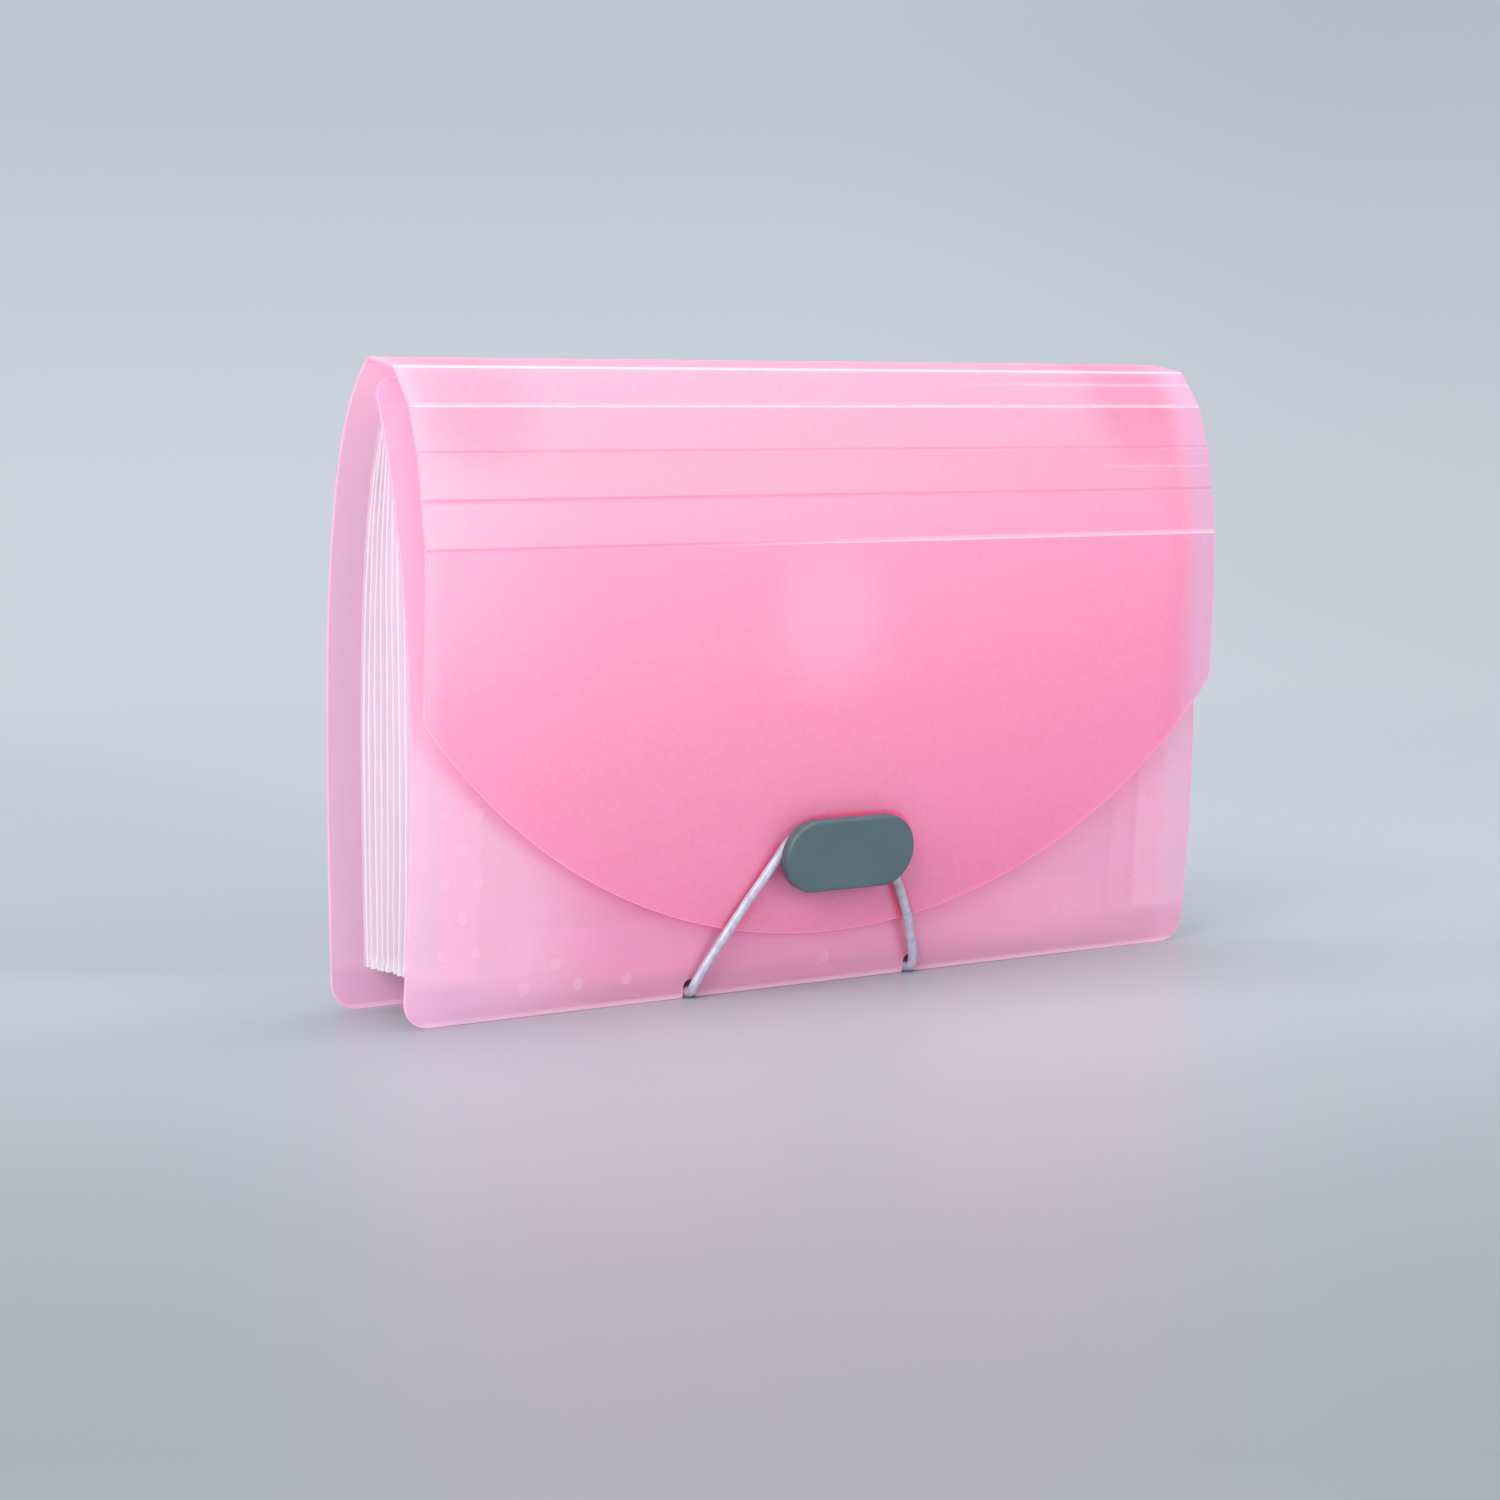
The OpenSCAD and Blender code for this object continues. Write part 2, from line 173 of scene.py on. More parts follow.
bow_end = math.degrees(math.asin((corner[5][1] - TIP_Z + 2) / BOW_R))
bow_angles = np.linspace(0, bow_end, 120)
bow_normals = [-left_of(heading(TONGUE_HEADING + a)) for a in bow_angles]
tongue_path = Path([bow_at(a) for a in bow_angles], bow_normals)


def front_face(z):
    return np.interp(z, front_in[:, 1], front_in[:, 0]) + 0.2


def back_face(z):
    k = np.argmax(back_in[:, 1])
    return np.interp(z, back_in[: k + 1, 1], back_in[: k + 1, 0]) - 0.2


def divider_y(i, z):
    return back_face(z) + (front_face(z) - back_face(z)) * i / POCKETS


def to_frame(x, y, z):
    return np.stack([np.asarray(x, float), np.asarray(y, float) + SHIFT, np.asarray(z, float)], -1) * MM


# mesh helpers
def add_mesh(name, verts, faces, materials, indices=None):
    mesh = bpy.data.meshes.new(name)
    mesh.from_pydata([tuple(v) for v in verts], [], [tuple(int(k) for k in f) for f in faces])
    for m in materials:
        mesh.materials.append(m)
    if indices is not None:
        mesh.polygons.foreach_set("material_index", np.array(indices, np.int32))
    mesh.polygons.foreach_set("use_smooth", np.full(len(mesh.polygons), True))
    mesh.update()
    obj = bpy.data.objects.new(name, mesh)
    bpy.context.scene.collection.objects.link(obj)
    return obj


def add_piece(name, points, faces, materials, indices=None):
    """A mesh from points (x, y, z) in millimetres, in the part's own frame."""
    x, y, z = np.array(points).T
    return add_mesh(name, to_frame(x, y, z), faces, materials, indices)


def ring_faces(rows, n, closed=True, flip=False):
    """Quads between rows of n points; closed joins the last point of a row to its first."""
    out = []
    for r in range(rows - 1):
        for k in range(n if closed else n - 1):
            a, b = r * n + k, r * n + (k + 1) % n
            q = (a, b, b + n, a + n)
            out.append(q[::-1] if flip else q)
    return out


def shifted(faces, base):
    return [tuple(base + k for k in f) for f in faces]


def wave(seed, x):
    """A smooth wander between about -1 and 1."""
    r = np.random.default_rng(seed)
    x = np.asarray(x, float)
    out = np.zeros_like(x)
    for k in range(1, 5):
        out += np.sin(x * k * r.uniform(0.7, 1.3) + r.uniform(0, 6.28)) / k**0.7
    return out / 2.2


def resample(points, step, flags):
    """Splits long edges of a closed line; flags say which edges lie on an open end."""
    out, keep = [], []
    n = len(points)
    for k in range(n):
        a, b = points[k], points[(k + 1) % n]
        m = max(1, int(math.ceil(np.linalg.norm(b - a) / step - 1e-6)))
        for j in range(m):
            out.append(a + (b - a) * j / m)
            keep.append(flags[k])
    return np.array(out), keep


def inset(points, flags, d):
    """Moves a closed line to its left by d, but not its open edges."""
    n = len(points)
    out = np.zeros_like(points)
    edge = np.roll(points, -1, axis=0) - points
    normal = left_of(edge)
    for k in range(n):
        n1, n2 = normal[k - 1], normal[k]
        d1 = 0 if flags[k - 1] else d
        d2 = 0 if flags[k] else d
        det = n1[0] * n2[1] - n1[1] * n2[0]
        if abs(det) < 1e-3:
            q = n2 * (d1 + d2) / 2
        else:
            q = np.array([d1 * n2[1] - d2 * n1[1], n1[0] * d2 - n2[0] * d1]) / det
        out[k] = points[k] + q
    return out


def inside(points, loop):
    x, y = points[:, 0], points[:, 1]
    hit = np.zeros(len(points), bool)
    a = loop
    b = np.roll(loop, -1, axis=0)
    for (x1, y1), (x2, y2) in zip(a, b):
        if y1 == y2:
            continue
        cross = (y1 > y) != (y2 > y)
        hit ^= cross & (x < (x2 - x1) * (y - y1) / (y2 - y1) + x1)
    return hit


def distance_to(points, loop):
    best = np.full(len(points), 1e9)
    for a, b in zip(loop, np.roll(loop, -1, axis=0)):
        ab = b - a
        t = np.clip(((points - a) @ ab) / max(ab @ ab, 1e-12), 0, 1)
        best = np.minimum(best, np.linalg.norm(points - (a + t[:, None] * ab), axis=1))
    return best


def sheet(name, path, loops, materials, thick=SHEET, rim=RIM, grid=(3.4, 3.0), open_at=None):
    """A bent sheet with rounded edges. loops are closed lines of (x, s): the first runs
    anticlockwise, holes clockwise. Edges at s = open_at stay open, where a hinge piece
    goes on."""
    steps = [0, 30, 60, 90]
    rings, flags_all, size = [], [], []
    for loop in loops:
        loop = np.array(loop, float)
        on_end = [
            open_at is not None and abs(loop[k][1] - open_at) < 1e-6
            and abs(loop[(k + 1) % len(loop)][1] - open_at) < 1e-6
            for k in range(len(loop))
        ]
        line, flags = resample(loop, grid[0], on_end)
        flags_all.append(flags)
        rings.append([inset(line, flags, rim * (1 - math.sin(math.radians(a)))) for a in steps])
        size.append(len(line))
    borders = [r[0] for r in rings]
    outer = borders[0]
    lo, hi = outer.min(0), outer.max(0)
    xs = np.linspace(lo[0], hi[0], max(2, int((hi[0] - lo[0]) / grid[0])) + 1)
    ss = np.linspace(lo[1], hi[1], max(2, int((hi[1] - lo[1]) / grid[1])) + 1)
    gx, gs = np.meshgrid(xs, ss)
    inner = np.stack([gx.ravel(), gs.ravel()], -1)
    ok = inside(inner, outer)
    for hole in borders[1:]:
        ok &= ~inside(inner, hole)
    for b in borders:
        ok &= distance_to(inner, b) > grid[0] * 0.3
    inner = inner[ok]
    flat = np.concatenate(borders + [inner])
    edges, start = [], 0
    for n in size:
        edges += [(start + k, start + (k + 1) % n) for k in range(n)]
        start += n
    got = delaunay_2d_cdt([Vector(p) for p in flat], edges, [], 0, 1e-6)
    pts = np.array([tuple(p) for p in got[0]])
    tris = np.array([f for f in got[2] if len(f) == 3])
    centre = pts[tris].mean(1)
    keep = inside(centre, outer)
    for hole in borders[1:]:
        keep &= ~inside(centre, hole)
    tris = tris[keep]
    assert len(pts) == len(flat), name

    def place(xs, depth):
        """Points at (x, s), depth below the outer face."""
        p, n = path.at(xs[:, 1])
        q = p + n * (thick / 2 - depth)
        return np.stack([xs[:, 0], q[:, 0], q[:, 1]], -1)

    verts = [place(pts, 0.0), place(pts, thick)]
    n_pts = len(pts)
    faces, mat = [], []
    # the triangles' turn, and whether x and s form a left- or right-handed pair from outside
    area = 0.0
    for a, b, c in tris[:50]:
        u, w = pts[b] - pts[a], pts[c] - pts[a]
        area += u[0] * w[1] - u[1] * w[0]
    p0, n0 = path.at(0.0)
    p1, _ = path.at(0.5)
    t0 = p1 - p0
    outward = np.cross([1, 0, 0], [0, t0[0], t0[1]])
    flip = (outward[1] * n0[0] + outward[2] * n0[1] < 0) != (area < 0)
    for a, b, c in tris:
        f = (a, b, c)
        faces.append(f[::-1] if flip else f)
        mat.append(0)
        f = (a + n_pts, c + n_pts, b + n_pts)
        faces.append(f[::-1] if flip else f)
        mat.append(0)
    base = 2 * n_pts
    start = 0
    for ring, flags, n in zip(rings, flags_all, size):
        levels = []
        for k, a in enumerate(steps[1:], 1):
            depth = rim * (1 - math.cos(math.radians(a)))
            verts.append(place(ring[k], depth))
            levels.append(base)
            base += n
        for k, a in list(enumerate(steps))[:0:-1]:
            depth = thick - rim * (1 - math.cos(math.radians(a)))
            verts.append(place(ring[k], depth))
            levels.append(base)
            base += n
        levels = [start] + levels + [start + n_pts]
        for j in range(len(levels) - 1):
            for k in range(n):
                if flags[k]:
                    continue
                a, b = levels[j] + k, levels[j] + (k + 1) % n
                c, d = levels[j + 1] + (k + 1) % n, levels[j + 1] + k
                f = (a, d, c, b)
                faces.append(f[::-1] if flip else f)
                mat.append(1)
        start += n
    # the rim has the last material; a sheet with one has it twice
    return add_piece(name, np.concatenate(verts), faces, [materials[0], materials[-1]], mat)


def band_section(thick, rim):
    """A closed rounded strip over the whole width, as (x, offset from the middle)."""
    pts = []
    for sx, sy, a0 in ((1, 1, 90), (1, -1, 0), (-1, -1, -90), (-1, 1, -180)):
        for a in (0, 30, 60, 90):
            t = math.radians(a0 - a)
            x = sx * (HALF - rim) + rim * math.cos(t)
            pts.append((x, sy * (thick / 2 - rim) + rim * math.sin(t)))
    return pts


def band(name, line, normals, materials, thick=None):
    """A strip of sheet over the whole width, along a middle line [y, z]; open at both ends."""
    rows, across = len(line), 20
    thick = np.full(rows, SHEET) if thick is None else thick
    verts, n = [], 0
    for r in range(rows):
        sec = band_section(thick[r], RIM * min(1, thick[r] / SHEET))
        ring = []
        for k, (x, o) in enumerate(sec):
            x2, o2 = sec[(k + 1) % len(sec)]
            m = across if abs(x2 - x) > 5 else 1
            for j in range(m):
                ring.append((x + (x2 - x) * j / m, o + (o2 - o) * j / m))
        n = len(ring)
        for x, o in ring:
            q = line[r] + normals[r] * o
            verts.append((x, q[0], q[1]))
    v = np.array(verts)
    faces = ring_faces(rows, n)
    edge = []
    for r in range(rows - 1):
        for k in range(n):
            x = (abs(v[r * n + k][0]) + abs(v[r * n + (k + 1) % n][0])) / 2
            edge.append(1 if x > HALF - RIM * 1.01 else 0)
    return add_piece(name, v, faces, materials, edge)


def hinge(obj, weight):
    mesh = obj.data
    co = np.zeros(len(mesh.vertices) * 3)
    mesh.vertices.foreach_get("co", co)
    lined = np.zeros((len(mesh.vertices), 3))
    lined[:, 0] = weight
    mesh.vertices.foreach_set("co", lined.ravel())
    mesh.update()
    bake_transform(obj)
    mesh.vertices.foreach_set("co", co)
    mesh.update()


# materials
class Nodes:
    def __init__(self, name):
        self.mat = bpy.data.materials.new(name)
        self.mat.use_nodes = True
        self.tree = self.mat.node_tree
        self.tree.nodes.clear()
        self.out = self.add("ShaderNodeOutputMaterial")
        self.coord = self.add("ShaderNodeTexCoord").outputs["Object"]
        split = self.add("ShaderNodeSeparateXYZ")
        self.link(self.coord, split.inputs[0])
        self.x, self.y, self.z = split.outputs

    def add(self, kind, **props):
        node = self.tree.nodes.new(kind)
        for k, v in props.items():
            setattr(node, k, v)
        return node

    def link(self, a, b):
        self.tree.links.new(a, b)

    def put(self, value, socket):
        if isinstance(value, bpy.types.NodeSocket):
            self.link(value, socket)
        elif isinstance(value, (tuple, list)) and len(value) == 3 and socket.type == "RGBA":
            socket.default_value = (*value, 1)
        else:
            socket.default_value = value

    def math(self, op, a, b=0.0, clamp=False):
        n = self.add("ShaderNodeMath", operation=op, use_clamp=clamp)
        self.put(a, n.inputs[0])
        self.put(b, n.inputs[1])
        return n.outputs[0]

    def times(self, a, b):
        return self.math("MULTIPLY", a, b)

    def plus(self, a, b):
        return self.math("ADD", a, b)

    def minus(self, a, b):
        return self.math("SUBTRACT", a, b)

    def length_of(self, a, b):
        return self.math("SQRT", self.plus(self.times(a, a), self.times(b, b)))

    def ramp(self, value, lo, hi, a=0.0, b=1.0, kind="SMOOTHSTEP"):
        n = self.add("ShaderNodeMapRange", interpolation_type=kind)
        self.put(value, n.inputs["Value"])
        for k, v in (("From Min", lo), ("From Max", hi), ("To Min", a), ("To Max", b)):
            self.put(v, n.inputs[k])
        return n.outputs["Result"]

    def mix(self, f, a, b, blend="MIX"):
        n = self.add("ShaderNodeMix", data_type="RGBA", blend_type=blend, clamp_factor=True)
        self.put(f, n.inputs["Factor"])
        self.put(a, n.inputs[6])
        self.put(b, n.inputs[7])
        return n.outputs[2]

    def noise(self, scale, detail=2.0, rough=0.5, stretch=None):
        v = self.coord
        if stretch:
            m = self.add("ShaderNodeMapping")
            m.inputs["Scale"].default_value = stretch
            self.link(v, m.inputs["Vector"])
            v = m.outputs[0]
        n = self.add("ShaderNodeTexNoise")
        n.inputs["Scale"].default_value = scale
        n.inputs["Detail"].default_value = detail
        n.inputs["Roughness"].default_value = rough
        self.link(v, n.inputs["Vector"])
        return n.outputs["Fac"]

    def bump(self, height, strength, distance):
        n = self.add("ShaderNodeBump")
        n.inputs["Strength"].default_value = strength
        n.inputs["Distance"].default_value = distance
        self.put(height, n.inputs["Height"])
        return n.outputs[0]

    def spot(self, cx, cz, rx, rz, soft=0.35):
        """1 inside an oval about (cx, cz), in millimetres, falling to 0 over its soft rim."""
        dx = self.math("DIVIDE", self.minus(self.x, cx * MM), rx * MM)
        dz = self.math("DIVIDE", self.minus(self.z, cz * MM), rz * MM)
        return self.ramp(self.length_of(dx, dz), 1 - soft, 1 + soft, 1.0, 0.0)

    def beside(self, x0, z0, x1, z1, r, soft):
        """1 within r of the line from (x0, z0) to (x1, z1), falling to 0 over soft, in millimetres."""
        dx, dz = (x1 - x0) * MM, (z1 - z0) * MM
        px, pz = self.minus(self.x, x0 * MM), self.minus(self.z, z0 * MM)
        along = self.plus(self.times(px, dx), self.times(pz, dz))
        t = self.math("DIVIDE", along, dx * dx + dz * dz, clamp=True)
        qx = self.minus(px, self.times(t, dx))
        qz = self.minus(pz, self.times(t, dz))
        return self.ramp(self.length_of(qx, qz), r * MM, (r + soft) * MM, 1.0, 0.0)

    def line_at(self, z, half, x0, x1):
        """1 on a fine level line that fades in between x0 and x1, in millimetres."""
        off = self.math("ABSOLUTE", self.minus(self.z, z * MM))
        near = self.ramp(off, half * MM * 0.4, half * MM, 1.0, 0.0)
        return self.times(near, self.ramp(self.x, x0 * MM, x1 * MM))

    def principled(self, color, rough, normal=None, spec=0.5, **more):
        n = self.add("ShaderNodeBsdfPrincipled")
        self.put(color, n.inputs["Base Color"])
        self.put(rough, n.inputs["Roughness"])
        n.inputs["Specular IOR Level"].default_value = spec
        for k, v in more.items():
            self.put(v, n.inputs[k])
        if normal is not None:
            self.link(normal, n.inputs["Normal"])
        return n.outputs[0]

    def shader(self, kind, color, **more):
        n = self.add(kind)
        self.put(color, n.inputs["Color"])
        for k, v in more.items():
            self.put(v, n.inputs[k])
        return n.outputs[0]

    def blend_shaders(self, f, a, b):
        n = self.add("ShaderNodeMixShader")
        self.put(f, n.inputs[0])
        self.link(a, n.inputs[1])
        self.link(b, n.inputs[2])
        return n.outputs[0]

    def gray(self, value):
        n = self.add("ShaderNodeCombineColor")
        for k in range(3):
            self.link(value, n.inputs[k])
        return n.outputs[0]

    def passing(self, clear, shade):
        """How much of a face is see-through: more of it for the light that it passes on."""
        ray = self.add("ShaderNodeLightPath")
        return self.ramp(ray.outputs["Is Shadow Ray"], 0.0, 1.0, clear, shade, "LINEAR")

    def finish(self, surface):
        self.link(surface, self.out.inputs["Surface"])
        return self.mat


def frosted_nodes(name):
    """The shared frosted grain: a fine pebble, faint streaks along the extrusion."""
    n = Nodes(name)
    grain = n.noise(2600, 2.0, 0.6)
    pebble = n.noise(900, 3.0, 0.55)
    streak = n.noise(60, 3.0, 0.6, stretch=(0.35, 3.0, 3.0))
    height = n.plus(n.times(grain, 0.35), n.times(pebble, 0.65))
    normal = n.bump(height, 0.22, 0.00006)
    rough = n.ramp(streak, 0.3, 0.7, 0.34, 0.44)
    return n, normal, rough, streak, pebble


def frosted(n, clear, shade, share, body, through, tint):
    """Sheet that scatters share of its light and lets clear of it straight through, tinted."""
    seen = n.shader("ShaderNodeBsdfTransparent", tint)
    return n.finish(n.blend_shaders(n.passing(clear, shade), n.blend_shaders(share, body, through), seen))


def cord_glow(n, color, much, red):
    """The cord throws a red glow into the sheet beside it."""
    for line in ((-29.9, 1.5, -14.0, 25.5), (11.6, 22.5, 16.8, 12.0), (16.8, 12.0, 20.0, 1.5)):
        color = n.mix(n.times(n.beside(*line, 0.7, 2.0), much), color, red)
    return color


def make_cover(name, near, far, glow, front):
    """near and far are the sheet's colours at its deepest and palest, its paler sides partly
    painted light, and glow the light that comes through it."""
    n, normal, rough, streak, _ = frosted_nodes(name)
    cloud = n.noise(14, 2.0, 0.5)
    # painted light: the sheet is paler towards both sides, most at the left, and deepest in the middle
    across = n.plus(n.ramp(n.x, -0.08, -0.035, 1.0, 0.0), n.ramp(n.x, 0.0, 0.06, 0.0, 0.38))
    shade = n.plus(n.times(across, 0.75), n.times(cloud, 0.3))
    color = n.mix(n.ramp(shade, 0.1, 0.9), near, far)
    low = n.mix(n.ramp(n.x, -0.08, -0.045), (0.79, 0.5, 0.72), (0.77, 0.4, 0.57))
    color = n.mix(n.ramp(n.z, 0.004, 0.011, 0.6, 0.0), color, low)
    # painted highlight: a pale line along the bottom edge, where the cut edge catches the light
    color = n.mix(n.ramp(n.z, 0.0005, 0.0012, 0.75, 0.0), color, (1.0, 0.84, 0.92))
    if front:
        # painted shade: the upper part, which the flap covers, turns deeper salmon from the light coming
        # through the flap
        color = n.mix(n.ramp(n.z, 0.05, 0.08, 0.0, 0.3), color, (1.0, 0.42, 0.5))
        color = cord_glow(n, color, 0.45, (0.95, 0.26, 0.38))
    color = n.mix(n.ramp(streak, 0.45, 0.8, 0.0, 0.06), color, (1, 0.9, 0.95))
    # the milky flange behind shows as a paler strip along each side
    aside = n.math("ABSOLUTE", n.x)
    strip = n.times(n.ramp(aside, 0.0744, 0.0756), n.ramp(n.z, 0.0066, 0.0080))
    color = n.mix(n.times(strip, n.ramp(n.x, -0.01, 0.01, 0.5, 0.3)), color, (0.98, 0.74, 0.88))
    body = n.principled(color, rough, normal, spec=0.45)
    through = n.shader("ShaderNodeBsdfTranslucent", glow, Normal=normal)
    return frosted(n, n.ramp(n.z, 0.002, 0.014, 0.16, 0.4), 0.8, 0.42, body, through, (0.99, 0.88, 0.94))


def make_flap(name, deeper=0.0, white=0.0, split=False):
    """The flap's colours by place, much of them painted light and shade; a score line is
    deeper with painted shade, or whitened by stress, which with split runs out towards the left."""
    n, normal, rough, _, pebble = frosted_nodes(name)
    cloud = n.noise(14, 2.0, 0.5)
    # painted light: paler towards the top and the left, where the light falls, deeper towards the bottom and
    # the right; the bottom is deeper also where the layers lie close
    low = n.ramp(n.z, 0.02, 0.105, 1.0, 0.0, "LINEAR")
    right = n.ramp(n.x, -0.089, 0.089, 0.0, 1.0, "LINEAR")
    deep = n.plus(n.times(low, 0.7), n.times(right, 0.3))
    deep = n.plus(deep, n.times(n.minus(cloud, 0.5), 0.12))
    color = n.mix(deep, (0.98, 0.6, 0.74), (0.85, 0.34, 0.55))
    # painted light: paler below the second score line and on the tongue's upper left, where the light falls;
    # deeper above
    pale = n.times(n.ramp(n.z, 0.078, 0.095), n.ramp(n.z, 0.1052, 0.1062, 1.0, 0.0))
    pale = n.times(pale, n.ramp(n.x, -0.08, 0.075, 0.55, 0.1, "LINEAR"))
    color = n.mix(pale, color, (1.0, 0.72, 0.78))
    aside = n.times(n.ramp(n.x, -0.085, -0.05, 0.32, 0.0), n.ramp(n.z, 0.045, 0.075))
    color = n.mix(aside, color, (1.0, 0.76, 0.84))
    color = n.mix(n.ramp(n.z, 0.1052, 0.1062, 0.0, 0.5), color, (1.0, 0.45, 0.57))
    color = n.mix(n.ramp(n.z, 0.078, 0.1, 0.0, 0.3), color, (1.0, 0.5, 0.54))
    # deeper at both upper corners, and the margins that overhang the stack
    for cx, rx, much in ((72, 10, 0.55), (-76, 11, 0.35)):
        glow = n.spot(cx, 106, rx, 10, 0.6)
        color = n.mix(n.times(glow, much), color, (0.99, 0.3, 0.44))
    color = n.mix(n.ramp(n.x, 0.073, 0.081, 0.0, 0.3), color, (0.75, 0.3, 0.45))
    color = n.mix(n.ramp(n.x, 0.079, 0.0865, 0.0, 0.9), color, (0.72, 0.56, 0.74))
    # painted light: paler along the left edge
    color = n.mix(n.ramp(n.x, -0.0885, -0.085, 0.25, 0.0), color, (1.0, 0.75, 0.86))
    # the finger hole behind, seen a little aside of its place
    patch = n.spot(-4.4, HOLE_Z, 12, 12, 0.55)
    color = n.mix(n.times(patch, 0.34), color, (1.0, 0.7, 0.82))
    # edges behind the sheet show as fine pale lines
    for z, x0, x1, much in ((109.5, 20, 60, 0.5), (94.0, 58, 68, 0.4)):
        color = n.mix(n.times(n.line_at(z, 0.35, x0, x1), much), color, (1.0, 0.8, 0.9))
    # the button and the cord glow red in the sheet beside them
    color = n.mix(n.times(n.beside(-5.2, 25.1, 10.6, 25.1, 6.2, 0.8), 0.75), color, (1.0, 0.1, 0.26))
    color = cord_glow(n, color, 0.6, (1.0, 0.16, 0.32))
    color = n.mix(n.ramp(pebble, 0.35, 0.65, 0.0, 0.07), color, (1.0, 0.85, 0.9))
    # painted shade: the score line is deeper, most towards the left
    if deeper:
        color = n.mix(n.ramp(n.x, -0.08, 0.06, deeper, deeper * 0.4, "LINEAR"), color, (0.85, 0.28, 0.48))
    if white:
        speck = n.noise(1400, 3.0, 0.6, stretch=(0.3, 1, 1))
        amount = n.ramp(speck, 0.3, 0.7, white * 0.75, white)
        if split:
            amount = n.times(amount, n.ramp(n.x, -0.045, 0.02))
        color = n.mix(amount, color, (1.0, 0.95, 0.98))
    body = n.principled(color, rough, normal, spec=0.45)
    through = n.shader("ShaderNodeBsdfTranslucent", n.mix(0.5, color, (1.0, 0.3, 0.5)), Normal=normal)
    return frosted(n, 0.3, 0.78, 0.35, body, through, (0.98, 0.72, 0.83))


def make_edge(name, color):
    n, normal, _, streak, _ = frosted_nodes(name)
    c = n.mix(n.ramp(streak, 0.3, 0.7), color, tuple(min(1, k * 1.06) for k in color))
    body = n.principled(c, 0.3, normal)
    return frosted(n, 0.0, 0.8, 0.35, body, n.shader("ShaderNodeBsdfTranslucent", c), (0.98, 0.8, 0.88))


def make_film(name, color):
    """Milky film with fine lengthwise lines; its crumpled lower band has white patches, a painted highlight
    on the crumples.
    """
    n = Nodes(name)
    lines = n.noise(420, 3.0, 0.6, stretch=(1.0, 1.0, 0.02))
    fine = n.noise(1500, 2.0, 0.5)
    crumple = n.noise(900, 3.0, 0.65)
    # painted highlight: white patches on the crumples of the lower band
    low = n.ramp(n.z, 0.0075, 0.0105, 1.0, 0.0)
    white = n.times(low, n.ramp(crumple, 0.3, 0.6))
    c = n.mix(n.ramp(lines, 0.3, 0.7), tuple(k * 0.93 for k in color), color)
    c = n.mix(white, c, (0.97, 0.95, 0.98))
    height = n.plus(n.times(lines, 0.6), n.times(fine, 0.2))
    normal = n.bump(height, 0.3, 0.00012)
    body = n.principled(c, n.ramp(lines, 0.3, 0.7, 0.34, 0.5), normal, spec=0.45)
    return frosted(n, 0.0, 0.52, 0.35, body, n.shader("ShaderNodeBsdfTranslucent", c), (1.0, 0.97, 0.99))


def make_flange(name):
    n = Nodes(name)
    lines = n.noise(420, 3.0, 0.6, stretch=(1.0, 1.0, 0.02))
    normal = n.bump(lines, 0.2, 0.0001)
    body = n.principled(n.mix(lines, (0.92, 0.78, 0.88), (0.97, 0.86, 0.94)), 0.4, normal)
    seen = n.shader("ShaderNodeBsdfTransparent", (1.0, 0.95, 0.98))
    return n.finish(n.blend_shaders(0.45, body, seen))


def make_weld(name):
    n = Nodes(name)
    grain = n.noise(1800, 2.0, 0.5)
    normal = n.bump(grain, 0.3, 0.00005)
    side = n.ramp(n.x, -0.05, 0.05)
    body = n.principled(n.mix(side, (1.0, 0.72, 0.85), (0.95, 0.5, 0.64)), 0.34, normal)
    seen = n.shader("ShaderNodeBsdfTransparent", (1.0, 0.99, 0.995))
    return n.finish(n.blend_shaders(0.8, body, seen))


def make_button(name):
    n = Nodes(name)
    grain = n.noise(1900, 3.0, 0.6)
    cloud = n.noise(90, 2.0, 0.5)
    color = n.mix(n.ramp(cloud, 0.3, 0.7), (0.058, 0.099, 0.115), (0.068, 0.111, 0.128))
    normal = n.bump(grain, 0.35, 0.00005)
    return n.finish(n.principled(color, n.ramp(cloud, 0.3, 0.7, 0.36, 0.44), normal))


def make_cord(name):
    n = Nodes(name)
    fibre = n.noise(5200, 3.0, 0.6)
    tone = n.noise(700, 2.0, 0.5)
    color = n.mix(n.ramp(tone, 0.3, 0.7), (0.33, 0.32, 0.41), (0.43, 0.42, 0.52))
    normal = n.bump(fibre, 0.35, 0.00006)
    return n.finish(n.principled(color, n.ramp(fibre, 0.3, 0.7, 0.24, 0.42), normal, spec=0.8))


def make_metal(name):
    n = Nodes(name)
    brush = n.noise(2400, 2.0, 0.5, stretch=(0.1, 1, 1))
    normal = n.bump(brush, 0.2, 0.00004)
    metal = n.principled((0.72, 0.73, 0.75), n.ramp(brush, 0.3, 0.7, 0.28, 0.42), normal, Metallic=1.0)
    return n.finish(metal)


cover_mat = make_cover("cover_sheet", (0.79, 0.4, 0.57), (0.93, 0.69, 0.82), (0.92, 0.51, 0.69), True)
back_mat = make_cover("back_cover_sheet", (0.81, 0.47, 0.63), (0.86, 0.57, 0.72), (0.9, 0.54, 0.69), False)
cover_edge = make_edge("cover_edge", (0.9, 0.52, 0.69))
flap_mat = make_flap("flap_sheet")
flap_edge = make_edge("flap_edge", (0.88, 0.46, 0.58))
tongue_edge = make_edge("tongue_edge", (0.98, 0.47, 0.65))
film_mat = make_film("gusset_film", (0.965, 0.855, 0.935))
divider_mat = make_film("divider_sheet", (0.965, 0.865, 0.94))
flange_mat = make_flange("gusset_flange")
weld_mat = make_weld("weld_spot")
button_mat = make_button("button_plastic")
cord_mat = make_cord("elastic_braid")
metal_mat = make_metal("crimp_metal")
